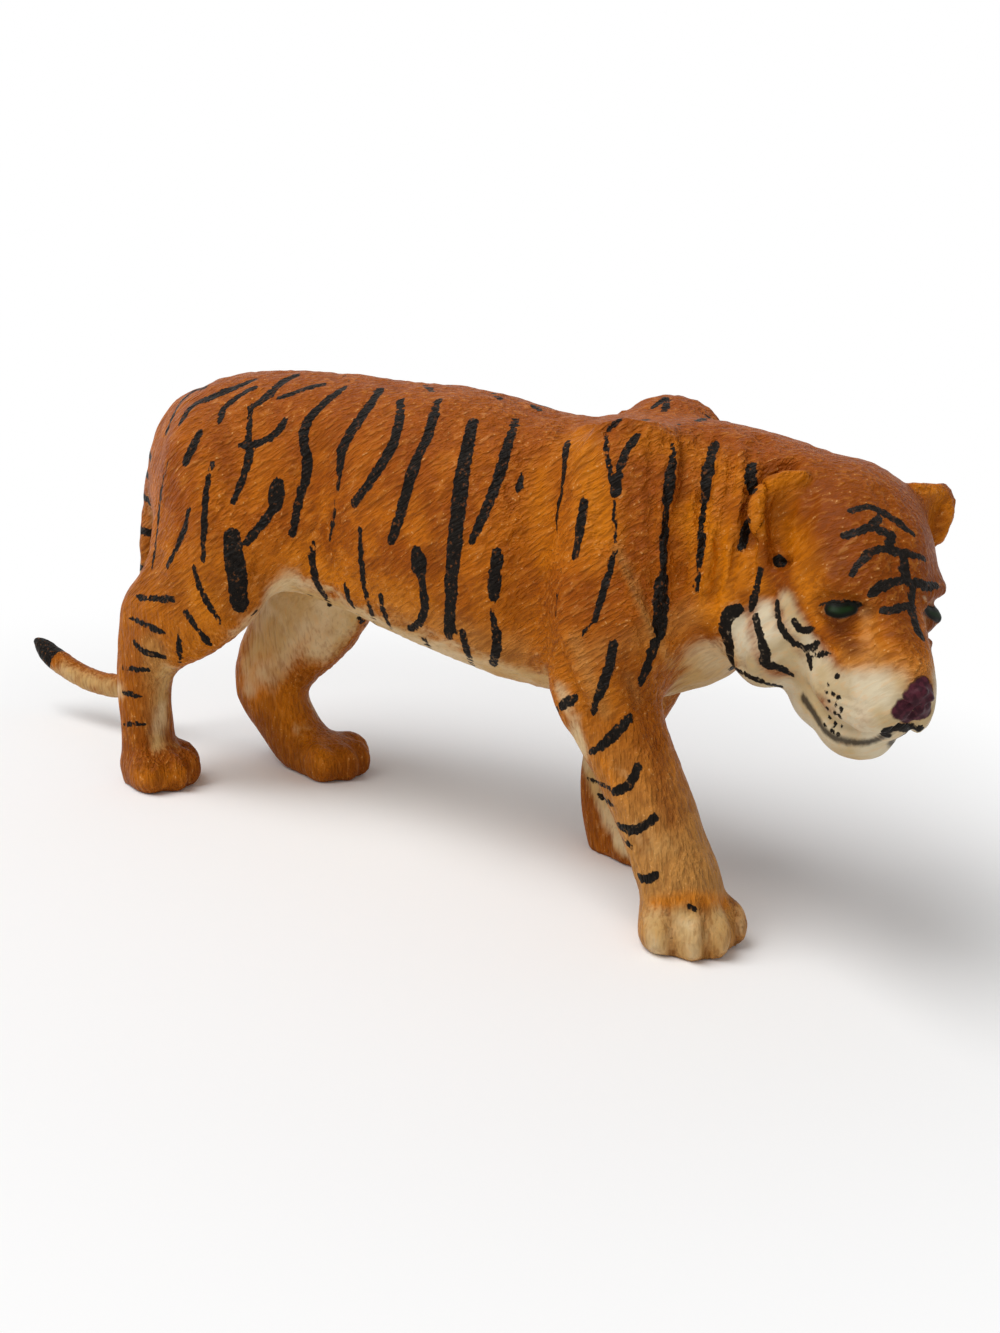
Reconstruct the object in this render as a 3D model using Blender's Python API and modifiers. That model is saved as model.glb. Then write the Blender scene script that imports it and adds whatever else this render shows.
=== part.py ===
"""Tiger figurine, a walking tiger moulded in one piece of solid PVC.

The animal walks along +X with its head turned to its right (-Y) and lowered. Z is up
and the four soles stand on Z = 0. Sizes are in millimetres and the finished solid is
scaled to metres. The form is built as a sculptor builds clay over an armature: closed
lofts and balls are overlapped, fused by a voxel remesh into one skin, smoothed, and
then worked with strokes that raise muscles and press in folds.
"""

import math

import bmesh
import bpy
import numpy as np
from mathutils import Matrix, Vector

MM = 0.001

# Trunk: hip to shoulder joint, its middle line above the ground, and how far it swells from that
BODY_LENGTH = 57.0
HIP_X = -36.0
SHOULDER_X = HIP_X + BODY_LENGTH
AXIS_HEIGHT = 41.0
TRUNK_HALF_WIDTH = 11.9
TRUNK_RISE = 15.6
TRUNK_DROP = 16.4
NECK_HALF_WIDTH = 9.6

# Stride: how far each paw stands ahead of its joint, and how far out from the middle
RIGHT_FORE_STRIDE = 13.6
LEFT_FORE_STRIDE = -1.4
RIGHT_HIND_STRIDE = -8.0
LEFT_HIND_STRIDE = 7.6
RIGHT_FORE_SPREAD = 10.6
LEFT_FORE_SPREAD = 10.0
HIND_SPREAD = 9.2

# Legs and paws
FORE_LEG_RADIUS = 4.4
HIND_LEG_RADIUS = 3.9
FORE_PAW_WIDTH = 11.2
HIND_PAW_WIDTH = 10.0
PAW_LENGTH = 11.6
PAW_HEIGHT = 6.4

# Tail: how far its tip lies behind the hips, and its thickness
TAIL_REACH = 45.2
TAIL_RADIUS = 2.1

# Head, in its own frame at the middle of the skull
NECK_REACH = 24.6
HEAD_ASIDE = 5.4
HEAD_DROP = 2.0
HEAD_CENTRE = (SHOULDER_X + NECK_REACH, -HEAD_ASIDE, AXIS_HEIGHT - HEAD_DROP)
HEAD_YAW_DEG = -47.0
HEAD_PITCH_DEG = 10.0
HEAD_ROLL_DEG = -2.0
SKULL_HALF_WIDTH = 9.2
EYE = (7.0, 4.8, 2.7)
EYE_RADIUS = 2.0
EAR_REACH = 11.6
EAR_WIDTH = 4.6
EAR_DROOP = 1.6

# Each paw: where it stands, the way it points, and its width
RIGHT_FORE_PAW = (SHOULDER_X + RIGHT_FORE_STRIDE, -RIGHT_FORE_SPREAD)
LEFT_FORE_PAW = (SHOULDER_X + LEFT_FORE_STRIDE, LEFT_FORE_SPREAD)
RIGHT_HIND_PAW = (HIP_X + RIGHT_HIND_STRIDE, -HIND_SPREAD)
LEFT_HIND_PAW = (HIP_X + LEFT_HIND_STRIDE, HIND_SPREAD)
PAWS = (
    (RIGHT_FORE_PAW, -42, FORE_PAW_WIDTH),
    (LEFT_FORE_PAW, 0, FORE_PAW_WIDTH),
    (RIGHT_HIND_PAW, 5, HIND_PAW_WIDTH),
    (LEFT_HIND_PAW, 0, HIND_PAW_WIDTH),
)
TOE_PITCH = 0.272

# Resolution of the sculpt
CLAY_VOXEL = 0.62
RING_SIDES = 28
STEPS_PER_STATION = 6
FINISHED_TRIANGLES = 11600
FACE_CARE = 0.02


def clear_scene():
    for thing in list(bpy.data.objects):
        bpy.data.objects.remove(thing, do_unlink=True)


def new_collection(name):
    collection = bpy.data.collections.new(name)
    bpy.context.scene.collection.children.link(collection)
    return collection


# Clay: closed forms that overlap and are fused later


class Clay:
    """Collects overlapping closed forms in one mesh."""

    def __init__(self):
        self.mesh = bmesh.new()

    def loft(self, stations, front, place=None, squareness=2.3):
        """A limb through stations (x, y, z, side radius, front radius, back radius)."""
        rows = smooth_rows(np.array(stations, float))
        centres = rows[:, :3]
        tangents = np.gradient(centres, axis=0)
        tangents /= np.linalg.norm(tangents, axis=1)[:, None]
        rings = []
        angles = np.linspace(0, 2 * math.pi, RING_SIDES, endpoint=False)
        power = 2 / squareness
        across = np.sign(np.cos(angles)) * np.abs(np.cos(angles)) ** power
        along = np.sign(np.sin(angles)) * np.abs(np.sin(angles)) ** power
        for centre, tangent, radii in zip(centres, tangents, rows[:, 3:]):
            side = np.cross(tangent, np.array(front, float))
            side /= np.linalg.norm(side)
            ahead = np.cross(side, tangent)
            reach = np.where(along > 0, radii[1], radii[2])
            ring = centre + np.outer(across * radii[0], side) + np.outer(along * reach, ahead)
            rings.append([self.mesh.verts.new(self.placed(point, place)) for point in ring])
        for ring, following in zip(rings, rings[1:]):
            for i in range(RING_SIDES):
                j = (i + 1) % RING_SIDES
                self.mesh.faces.new((ring[i], ring[j], following[j], following[i]))
        self.mesh.faces.new(list(reversed(rings[0])))
        self.mesh.faces.new(rings[-1])

    def ball(self, centre, radii, turn=(0, 0, 0), place=None):
        """An ellipsoid, turned by Euler angles in degrees."""
        turned = Matrix.Identity(4)
        for axis, angle in zip("XYZ", turn):
            turned = Matrix.Rotation(math.radians(angle), 4, axis) @ turned
        matrix = Matrix.Translation(centre) @ turned @ Matrix.Diagonal((*radii, 1))
        matrix = (place or Matrix.Identity(4)) @ matrix
        bmesh.ops.create_uvsphere(self.mesh, u_segments=28, v_segments=18, radius=1.0, matrix=matrix)

    @staticmethod
    def placed(point, place):
        return place @ Vector(point) if place else Vector(point)


def smooth_rows(rows):
    """Catmull-Rom through the rows, so a few stations give a flowing limb."""
    padded = np.vstack([2 * rows[0] - rows[1], rows, 2 * rows[-1] - rows[-2]])
    made = []
    for i in range(1, len(padded) - 2):
        p0, p1, p2, p3 = padded[i - 1 : i + 3]
        for t in np.linspace(0, 1, STEPS_PER_STATION, endpoint=False):
            made.append(
                0.5 * (2 * p1 + (p2 - p0) * t + (2 * p0 - 5 * p1 + 4 * p2 - p3) * t**2
                       + (3 * p1 - p0 - 3 * p2 + p3) * t**3)
            )
    made.append(rows[-1])
    made = np.array(made)
    made[:, 3:] = np.maximum(made[:, 3:], 0.2)
    return made


def head_place():
    """The head's own frame: +X towards the nose, +Y to the animal's left, +Z to the crown."""
    return (
        Matrix.Translation(HEAD_CENTRE)
        @ Matrix.Rotation(math.radians(HEAD_YAW_DEG), 4, "Z")
        @ Matrix.Rotation(math.radians(HEAD_PITCH_DEG), 4, "Y")
        @ Matrix.Rotation(math.radians(HEAD_ROLL_DEG), 4, "X")
    )


def add_trunk(clay):
    """Rump, loin, barrel and chest: (share from hip to shoulder, y, share of width,
    lift of the axis, shares of rise and drop)."""
    stations = [
        (-0.281, 0.4, 0.17, 1.5, 0.22, 0.24),
        (-0.246, 0.3, 0.39, 1.0, 0.49, 0.46),
        (-0.184, 0.2, 0.64, 0.5, 0.73, 0.65),
        (-0.088, 0.0, 0.81, 0.0, 0.89, 0.76),
        (0.053, 0.0, 0.87, 0.5, 0.95, 0.76),
        (0.211, 0.0, 0.87, 1.0, 0.95, 0.85),
        (0.386, 0.0, 0.92, 1.0, 0.955, 0.945),
        (0.579, 0.0, 1.0, 0.0, 1.02, 1.02),
        (0.772, 0.0, 1.0, -1.0, 0.98, 1.055),
        (0.947, 0.0, 0.92, -1.0, 1.0, 1.043),
        (1.088, -0.3, 0.82, 0.0, 0.955, 0.95),
        (1.193, -0.8, 0.67, 1.0, 0.885, 0.756),
        (1.263, -1.2, 0.34, 1.5, 0.45, 0.37),
    ]
    clay.loft(
        [
            (
                HIP_X + BODY_LENGTH * share,
                y,
                AXIS_HEIGHT + lift,
                TRUNK_HALF_WIDTH * wide,
                TRUNK_RISE * up,
                TRUNK_DROP * down,
            )
            for share, y, wide, lift, up, down in stations
        ],
        front=(0, 0, 1),
    )


def add_neck(clay):
    """From inside the chest into the back of the skull, wherever the head is carried."""
    head_x, head_y, head_z = HEAD_CENTRE
    stations = [
        (0.00, 0.90, 13.0, 11.4),
        (0.34, 0.98, 14.0, 13.0),
        (0.60, 1.00, 13.7, 11.6),
        (0.82, 0.96, 13.0, 10.4),
        (1.00, 0.79, 12.2, 8.6),
    ]
    start = (SHOULDER_X - 4.0, 0.6, AXIS_HEIGHT + 2.0)
    end = (head_x - 2.6, head_y + 0.8, head_z + 3.0)
    clay.loft(
        [
            (
                start[0] + (end[0] - start[0]) * share,
                start[1] + (end[1] - start[1]) * share**1.7,
                start[2] + (end[2] - start[2]) * share,
                NECK_HALF_WIDTH * wide,
                up,
                down,
            )
            for share, wide, up, down in stations
        ],
        front=(0, 0, 1),
    )


def add_leg(clay, top, paw, stations, side_radius, front):
    """A leg from (x, y) at the top to a paw, through rows of
    (share of the axis height, ahead, outwards, share of the side radius, front, back).

    The leg leans evenly from its top to its paw, and each row steps off that line.
    """
    outward = 1 if paw[1] > 0 else -1
    high, low = stations[0][0], stations[-1][0]
    rows = []
    for height, ahead, outwards, wide, before, behind in stations:
        share = (high - height) / (high - low)
        x = top[0] + (paw[0] - top[0]) * share + ahead
        y = top[1] + (paw[1] - top[1]) * share + outward * outwards
        rows.append((x, y, AXIS_HEIGHT * height, side_radius * wide, before, behind))
    clay.loft(rows, front=front)


def add_fore_legs(clay):
    # The right one reaches forwards
    add_leg(
        clay,
        (SHOULDER_X, -6.8),
        RIGHT_FORE_PAW,
        [
            (1.366, 0.0, 0.0, 0.50, 4.2, 4.0),
            (1.244, -0.8, 0.7, 0.86, 7.6, 6.6),
            (1.024, -2.3, 1.1, 0.95, 8.6, 7.0),
            (0.829, -4.6, 1.2, 1.00, 8.4, 7.4),
            (0.659, -5.9, 1.3, 1.00, 6.2, 6.4),
            (0.524, -4.4, 1.3, 1.00, 5.2, 5.0),
            (0.395, -2.4, 1.2, 0.98, 5.0, 4.6),
            (0.254, -0.6, 1.0, 0.98, 4.8, 4.4),
            (0.146, 0.4, 0.7, 1.02, 4.8, 4.4),
            (-0.039, -0.6, 0.1, 1.05, 4.8, 5.0),
        ],
        FORE_LEG_RADIUS,
        (1, 0, 0),
    )
    # The left one stands under its shoulder, whose blade rises over the back
    add_leg(
        clay,
        (SHOULDER_X, 5.2),
        LEFT_FORE_PAW,
        [
            (1.415, -0.2, 0.0, 0.41, 3.0, 3.4),
            (1.356, -0.2, 0.5, 0.73, 5.6, 6.6),
            (1.195, 0.2, 1.5, 0.91, 7.4, 7.2),
            (1.000, 0.4, 2.0, 1.00, 8.2, 7.4),
            (0.805, -0.4, 2.2, 1.00, 8.0, 7.0),
            (0.634, -1.4, 2.1, 0.98, 6.0, 6.0),
            (0.463, -2.9, 1.7, 0.93, 4.4, 4.8),
            (0.293, -4.4, 1.1, 0.93, 4.2, 4.6),
            (0.146, -4.0, 0.6, 0.98, 4.4, 4.4),
            (-0.039, -2.2, 0.0, 1.02, 4.4, 3.6),
        ],
        FORE_LEG_RADIUS,
        (1, 0, 0),
    )


def add_hind_legs(clay):
    # The right one pushes off behind
    add_leg(
        clay,
        (HIP_X, -4.6),
        RIGHT_HIND_PAW,
        [
            (1.244, 0.0, 0.0, 0.87, 7.0, 6.4),
            (1.122, 0.8, 1.6, 1.18, 10.0, 8.6),
            (0.927, 2.6, 1.8, 1.28, 11.0, 10.0),
            (0.756, 2.6, 2.0, 1.23, 9.8, 9.8),
            (0.624, 0.3, 2.1, 1.13, 7.8, 8.4),
            (0.512, -2.8, 2.1, 1.00, 5.8, 8.0),
            (0.380, -4.6, 1.8, 0.90, 3.6, 4.6),
            (0.220, -3.6, 1.2, 0.92, 3.3, 3.5),
            (-0.039, -1.4, 0.2, 1.03, 3.6, 3.0),
        ],
        HIND_LEG_RADIUS,
        (1, 0, 0),
    )
    # The left one steps forwards, low at the hock
    add_leg(
        clay,
        (HIP_X, 4.6),
        LEFT_HIND_PAW,
        [
            (1.244, 0.5, 0.4, 0.87, 7.0, 6.4),
            (1.122, 1.2, 1.8, 1.18, 9.6, 9.0),
            (0.927, 2.6, 2.1, 1.28, 11.0, 10.6),
            (0.732, 2.8, 1.9, 1.23, 9.6, 10.0),
            (0.551, -0.8, 1.7, 1.15, 7.8, 8.2),
            (0.405, -5.8, 1.4, 1.05, 6.4, 7.4),
            (0.273, -9.0, 0.9, 1.00, 5.2, 6.6),
            (0.161, -7.6, 0.6, 1.00, 4.4, 4.6),
            (0.073, -4.9, 0.3, 1.05, 4.0, 4.0),
            (0.024, -1.6, 0.0, 1.08, 3.6, 3.6),
        ],
        HIND_LEG_RADIUS,
        (1, 0, 0.35),
    )


def paw_place(at, yaw_deg):
    return Matrix.Translation((*at, 0)) @ Matrix.Rotation(math.radians(yaw_deg), 4, "Z")


def add_paw(clay, at, yaw_deg, width):
    """A broad paw: a pad, and four toes set on an arc."""
    place = paw_place(at, yaw_deg)
    pad = (PAW_LENGTH * 0.40, width * 0.44, PAW_HEIGHT * 0.50)
    clay.ball((-PAW_LENGTH * 0.10, 0, PAW_HEIGHT * 0.40), pad, place=place)
    for slot, reach in ((-1.4, 0.05), (-0.5, 0.24), (0.5, 0.24), (1.4, 0.05)):
        clay.ball(
            (PAW_LENGTH * reach, slot * width * TOE_PITCH, PAW_HEIGHT * 0.36),
            (PAW_LENGTH * 0.28, width * 0.178, PAW_HEIGHT * 0.50),
            turn=(0, 14, slot * 9),
            place=place,
        )


def add_tail(clay):
    """Down behind the rump, then up to a blunt tip:
    (share of the reach, y, share of the axis height, share of the tail's radius).
    """
    path = [
        (0.188, 0.4, 1.244, 1.4),
        (0.274, 0.6, 1.190, 1.3),
        (0.345, 0.8, 1.098, 1.15),
        (0.394, 1.0, 0.927, 1.05),
        (0.425, 1.4, 0.707, 0.98),
        (0.440, 1.8, 0.488, 0.94),
        (0.473, 2.4, 0.305, 0.93),
        (0.558, 2.8, 0.195, 0.92),
        (0.686, 3.0, 0.171, 0.92),
        (0.819, 3.0, 0.195, 0.92),
        (0.920, 3.0, 0.239, 0.90),
        (0.978, 3.0, 0.278, 0.66),
        (1.000, 3.0, 0.295, 0.3),
    ]
    clay.loft(
        [
            (HIP_X - TAIL_REACH * share, y, AXIS_HEIGHT * up, *[TAIL_RADIUS * thick] * 3)
            for share, y, up, thick in path
        ],
        front=(0, 1, 0),
        squareness=2,
    )


def add_head(clay):
    place = head_place()
    # Skull and lower face: (ahead, left, centre up, share of width, up, down)
    stations = [
        (-11.0, 1.0, 0.76, 11.6, 7.0),
        (-6.0, 1.2, 0.96, 13.4, 8.4),
        (-1.0, 1.2, 1.00, 13.0, 9.2),
        (4.0, 0.8, 0.83, 10.2, 9.4),
        (8.0, 0.0, 0.58, 5.4, 8.8),
        (11.4, -1.6, 0.51, 3.2, 7.2),
        (14.8, -2.8, 0.40, 2.6, 4.8),
        (17.2, -2.8, 0.26, 1.6, 3.0),
    ]
    clay.loft(
        [(f, 0, u, SKULL_HALF_WIDTH * wide, up, down) for f, u, wide, up, down in stations],
        front=(0, 0, 1),
        place=place,
    )
    # Forehead and the broad, flat bridge of the nose
    clay.loft(
        [
            (-3.0, 0, 9.4, 5.6, 4.4, 4.0),
            (2.0, 0, 8.6, 5.4, 3.9, 4.0),
            (5.6, 0, 6.6, 4.4, 3.1, 3.4),
            (8.4, 0, 4.0, 3.2, 2.4, 3.0),
            (11.0, 0, 2.3, 2.8, 2.1, 3.0),
            (14.2, 0, 0.3, 2.4, 2.0, 3.0),
            (16.8, 0, -1.4, 2.0, 1.5, 1.8),
        ],
        front=(0, 0, 1),
        place=place,
        squareness=3.0,
    )
    clay.ball((17.2, 0, -1.8), (1.1, 1.9, 1.4), turn=(0, 30, 0), place=place)
    clay.ball((7.9, 0, -9.2), (5.3, 4.0, 3.5), turn=(0, -4, 0), place=place)
    clay.ball((3.4, 0, -8.2), (6.6, 4.8, 4.2), turn=(0, -10, 0), place=place)
    for side in (-1, 1):
        clay.ball((12.4, side * 1.8, -4.3), (4.5, 2.6, 3.6), place=place)
        clay.ball((8.0, side * 3.0, -4.6), (4.6, 2.9, 3.9), place=place)
        clay.ball((2.4, side * 5.8, -0.2), (4.6, 2.6, 3.6), turn=(0, 0, side * -28), place=place)
        clay.ball((-2.2, side * 6.4, -3.6), (5.4, 4.2, 6.4), turn=(0, 0, side * 14), place=place)
        brow = (EYE[0] - 0.6, side * (EYE[1] - 0.6), EYE[2] + 2.4)
        clay.ball(brow, (2.8, 2.2, 1.3), turn=(0, 34, side * -34), place=place)
        clay.ball((EYE[0], side * EYE[1], EYE[2]), (EYE_RADIUS, EYE_RADIUS, EYE_RADIUS * 0.85), place=place)
        add_ear(clay, place, side)


def add_ear(clay, place, side):
    """A rounded flap. The right one hangs lower and opens more to the front than the left."""
    drop = EAR_DROOP if side < 0 else 0.0
    reach = EAR_REACH - drop * 0.6
    width = EAR_WIDTH * (1 + drop * 0.14)
    clay.loft(
        [
            (-1.8 + drop * 0.4, side * reach * 0.50, 8.0 - drop * 1.1, width * 0.86, 2.6, 2.4),
            (-2.4 + drop * 0.4, side * reach * 0.66, 9.7 - drop * 1.1, width * 0.84, 1.9, 1.7),
            (-3.3 + drop * 0.5, side * reach * 0.83, 11.2 - drop * 1.1, width * 0.68, 1.4, 1.3),
            (-4.2 + drop * 0.5, side * reach, 12.5 - drop * 1.1, width * 0.32, 0.9, 0.9),
        ],
        front=(1, 0, 0.3),
        place=place,
        squareness=2,
    )


def fused(clay, name):
    """The forms as one skin."""
    mesh = bpy.data.meshes.new(name)
    clay.mesh.to_mesh(mesh)
    clay.mesh.free()
    body = bpy.data.objects.new(name, mesh)
    bpy.context.scene.collection.objects.link(body)
    remesh = body.modifiers.new("fuse", "REMESH")
    remesh.mode = "VOXEL"
    remesh.voxel_size = CLAY_VOXEL
    return baked(body)


def baked(body):
    graph = bpy.context.evaluated_depsgraph_get()
    mesh = bpy.data.meshes.new_from_object(body.evaluated_get(graph))
    body.modifiers.clear()
    body.data = mesh
    return body


# Sculpting: the fused skin worked with smoothing and strokes


class Skin:
    """The vertices of a mesh, moved together in numpy."""

    def __init__(self, mesh):
        self.mesh = mesh
        self.points = read(mesh.vertices, "co", 3)
        self.edges = read(mesh.edges, "vertices", 2, int)
        self.degree = np.bincount(self.edges.ravel(), minlength=len(self.points))[:, None]

    def normals(self):
        self.mesh.vertices.foreach_set("co", self.points.ravel())
        self.mesh.update()
        return read(self.mesh.vertex_normals, "vector", 3)

    def drift(self):
        """From each vertex to the mean of its neighbours."""
        total = np.zeros_like(self.points)
        a, b = self.edges.T
        for k in range(3):
            total[:, k] = np.bincount(a, self.points[b, k], len(total))
            total[:, k] += np.bincount(b, self.points[a, k], len(total))
        return total / self.degree - self.points

    def fill_creases(self, rounds, share=1.0, ridges=0.12):
        """Hollows between forms fill like wet clay, while ridges keep their shape."""
        for i in range(rounds):
            if i % 5 == 0:
                normals = self.normals()
            drift = self.drift()
            outward = (drift * normals).sum(1, keepdims=True) > 0
            self.points += drift * np.where(outward, 0.7, ridges) * share

    def relax(self, rounds, share=1.0):
        for _ in range(rounds):
            self.points += self.drift() * 0.5 * share

    def stroke(self, path, radius, height, sharp=False):
        """Raises (or presses, when negative) the skin along a path of points."""
        path = np.array(path, float).reshape(-1, 3)
        distance = distance_to_path(self.points, path)
        reach = np.clip(1 - distance / radius, 0, 1)
        swell = reach**1.4 if sharp else reach**2 * (3 - 2 * reach)
        self.points += self.normals() * (swell * height)[:, None]


def read(collection, name, width, kind=float):
    values = np.empty(len(collection) * width, kind)
    collection.foreach_get(name, values)
    return values.reshape(-1, width)


def distance_to_path(points, path):
    if len(path) == 1:
        return np.linalg.norm(points - path[0], axis=1)
    nearest = np.full(len(points), np.inf)
    for start, end in zip(path, path[1:]):
        line = end - start
        share = np.clip((points - start) @ line / (line @ line), 0, 1)
        nearest = np.minimum(nearest, np.linalg.norm(points - start - share[:, None] * line, axis=1))
    return nearest


def soften(skin):
    head = np.linalg.norm(skin.points - np.array(HEAD_CENTRE), axis=1)
    away_from_face = np.clip((head - 12) / 12, 0.06, 1)[:, None]
    away_from_toes = np.clip((skin.points[:, 2] - 5) / 8, 0.03, 1)[:, None]
    skin.fill_creases(60, away_from_face * away_from_toes)
    skin.relax(6, 0.6 * np.maximum(away_from_face, 0.3) * np.maximum(away_from_toes, 0.2))


def sculpt_body(skin):
    """Muscles and hollows, along paths in shares of the trunk: (hip to shoulder, width, axis height)."""

    def stroke(path, radius, height):
        points = [
            Vector((HIP_X + BODY_LENGTH * share, TRUNK_HALF_WIDTH * side, AXIS_HEIGHT * up))
            for share, side, up in path
        ]
        skin.stroke(points, radius, height)

    # Hollow behind each shoulder, and the shoulder standing in front of it
    stroke([(0.798, -0.92, 1.146), (0.832, -0.97, 0.976), (0.849, -0.94, 0.780)], 7.5, -1.1)
    stroke([(0.798, 0.92, 1.146), (0.825, 0.97, 0.976), (0.832, 0.94, 0.780)], 7.5, -1.0)
    stroke([(0.965, -0.76, 1.317), (0.947, -0.92, 1.098), (0.940, -1.01, 0.878), (0.947, -1.04, 0.732)], 4.4, 0.9)
    stroke([(0.965, 0.67, 1.317), (0.958, 0.92, 1.098), (0.947, 1.01, 0.878), (0.930, 1.04, 0.732)], 4.4, 0.9)
    # Groove in front of the shoulder blade and down the neck
    stroke([(1.140, -0.50, 1.341), (1.165, -0.84, 1.195), (1.158, -0.97, 1.049), (1.133, -1.01, 0.878)], 3.4, -0.9)
    stroke([(1.105, 0.34, 1.341), (1.140, 0.72, 1.195), (1.140, 0.84, 1.049), (1.123, 0.89, 0.878)], 3.4, -0.9)
    stroke([(1.211, -0.59, 1.317), (1.221, -0.89, 1.171), (1.204, -0.96, 1.024)], 2.4, 0.55)
    stroke([(1.272, -0.88, 1.244), (1.263, -1.01, 1.122), (1.239, -0.97, 0.976)], 2.4, -0.6)
    stroke([(1.193, 0.34, 1.317), (1.211, 0.59, 1.171), (1.200, 0.67, 1.024)], 2.4, 0.5)
    # Upper arm and elbow
    stroke([(1.088, -1.06, 0.902), (1.053, -1.11, 0.756), (1.000, -1.14, 0.659)], 4.0, 0.7)
    stroke([(0.919, -1.04, 0.659), (0.958, -1.11, 0.585)], 3.0, 0.5)
    stroke([(0.888, 1.04, 0.610)], 3.0, 0.7)
    stroke([(1.116, -1.13, 0.805), (1.147, -0.96, 0.659)], 2.2, -0.5)
    # Rib cage over the belly
    stroke([(0.386, -0.72, 0.732), (0.596, -0.72, 0.683), (0.772, -0.67, 0.659)], 3.4, 0.5)
    stroke([(0.386, 0.72, 0.732), (0.596, 0.72, 0.683), (0.772, 0.67, 0.659)], 3.4, 0.5)
    # Hollow of the flank and the fold of skin that runs to the thigh
    stroke([(0.316, -0.87, 1.122), (0.298, -0.87, 0.927)], 7.5, -0.8)
    stroke([(0.351, 0.87, 1.122), (0.333, 0.87, 0.927)], 7.5, -0.8)
    stroke([(0.351, -0.80, 0.744), (0.237, -0.84, 0.829), (0.175, -0.89, 0.927)], 2.6, 0.6)
    stroke([(0.421, 0.80, 0.732), (0.307, 0.84, 0.805), (0.246, 0.89, 0.902)], 2.6, 0.6)
    # Hip bones, the muscle of each haunch, and the hocks
    stroke([(0.105, -0.62, 1.283)], 4.4, 0.6)
    stroke([(0.132, 0.62, 1.283)], 4.4, 0.6)
    stroke([(0.018, -0.99, 1.024), (0.053, -1.03, 0.854)], 6.0, 0.7)
    stroke([(-0.105, -0.89, 0.927), (-0.116, -0.97, 0.732)], 3.4, -0.6)
    stroke([(0.053, 0.99, 1.024), (0.123, 1.03, 0.829)], 6.0, 0.7)
    stroke([(-0.070, 0.89, 0.878), (-0.035, 0.97, 0.683)], 3.4, -0.6)
    stroke([(-0.211, -0.97, 0.463), (-0.175, -1.04, 0.573)], 2.4, -0.5)
    # Spine between the haunches, loin to withers
    stroke([(-0.140, 0.03, 1.293), (0.105, 0.00, 1.376), (0.456, 0.00, 1.390), (0.772, 0.00, 1.341)], 2.6, 0.3)


def sculpt_head(skin):
    place = head_place()

    def stroke(path, radius, height, sharp=False):
        for side in (-1, 1):
            skin.stroke([place @ Vector((f, side * l, u)) for f, l, u in path], radius, height, sharp)

    # Each eye in its socket: a hollow, the eyeball, the inner corner, and the fold over the lid
    f, l, u = EYE
    stroke([(f + 1.6, l - 0.4, u - 0.2), (f - 0.4, l + 1.6, u - 0.4)], 3.0, -0.5)
    stroke([(f + 1.4, l - 0.2, u), (f + 0.2, l + 1.0, u)], 1.6, 0.4)
    stroke([(f + 2.9, l - 1.2, u + 0.2), (f + 4.2, l - 1.2, u - 1.6)], 1.5, -0.4)
    stroke([(f + 2.4, l - 1.1, u + 1.6), (f + 1.2, l + 0.6, u + 1.7), (f - 0.6, l + 2.1, u + 1.2)], 1.1, -0.35)
    stroke([(f + 1.2, l - 1.6, u + 3.4), (f + 0.2, l + 0.2, u + 3.7), (f - 1.2, l + 1.6, u + 3.2)], 2.4, 0.4)
    # Nostrils and the line of the mouth from the nose to the corner
    stroke([(17.8, 1.5, -2.6), (16.6, 2.5, -2.0)], 0.9, -0.6)
    mouth = [(17.6, 0.2, -4.2), (16.2, 1.2, -6.4), (14.2, 2.6, -7.6), (11.4, 4.0, -7.9), (8.6, 5.0, -7.2)]
    stroke([*mouth, (6.4, 5.4, -6.4)], 1.3, -1.0)
    stroke([(18.4, 0, -3.0), (17.8, 0, -5.0)], 0.9, -0.5)
    # Hollow of each ear, opening forwards, behind a rim
    skin.stroke([place @ Vector((-0.4, 8.4, 9.0)), place @ Vector((-1.8, 9.6, 10.8))], 2.4, -1.1)
    skin.stroke([place @ Vector((0.4, -8.0, 7.2)), place @ Vector((-1.0, -8.9, 9.4))], 3.0, -1.2)
    stroke([(0.4, 8.8, 5.1)], 1.6, -0.7)
    # Ruff of the cheeks, combed back and down
    stroke([(1.6, 9.0, 2.0), (-0.6, 10.2, -3.0), (-0.4, 9.2, -7.6)], 1.6, -0.45)
    stroke([(-1.8, 10.4, 2.0), (-3.8, 10.8, -3.0), (-3.6, 9.4, -8.4)], 1.6, 0.45)
    stroke([(4.6, 7.6, -1.0), (2.8, 8.4, -5.0)], 1.4, 0.4)


def sculpt_paws(skin):
    """The clefts between the toes, from the ground up over the knuckles."""
    for at, yaw_deg, width in PAWS:
        place = paw_place(at, yaw_deg)
        for slot in (-1, 0, 1):
            tip = PAW_LENGTH * (0.50 - 0.07 * abs(slot))
            side = slot * width * TOE_PITCH
            path = [(tip, side, 0.4), (tip - 0.5, side, PAW_HEIGHT * 0.5), (tip - 3.2, side * 0.95, PAW_HEIGHT * 0.86)]
            skin.stroke([place @ Vector(point) for point in path], 1.05, -0.7)


def thinned(body, triangles):
    """Fewer triangles, kept where the form turns and most of all in the face and toes."""
    points = read(body.data.vertices, "co", 3)
    head = np.linalg.norm(points - np.array(head_place() @ Vector((6, 0, 0))), axis=1)
    group = body.vertex_groups.new(name="thin")
    fine = np.clip((15 - head) / 5, 0, 1) + 0.5 * np.clip((8 - points[:, 2]) / 2, 0, 1)
    for index, share in enumerate(fine):
        group.add([index], 1 - FACE_CARE * share, "REPLACE")
    thin = body.modifiers.new("thin", "DECIMATE")
    thin.vertex_group = group.name
    thin.ratio = triangles / sum(len(face.vertices) - 2 for face in body.data.polygons)
    return baked(body)


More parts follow.
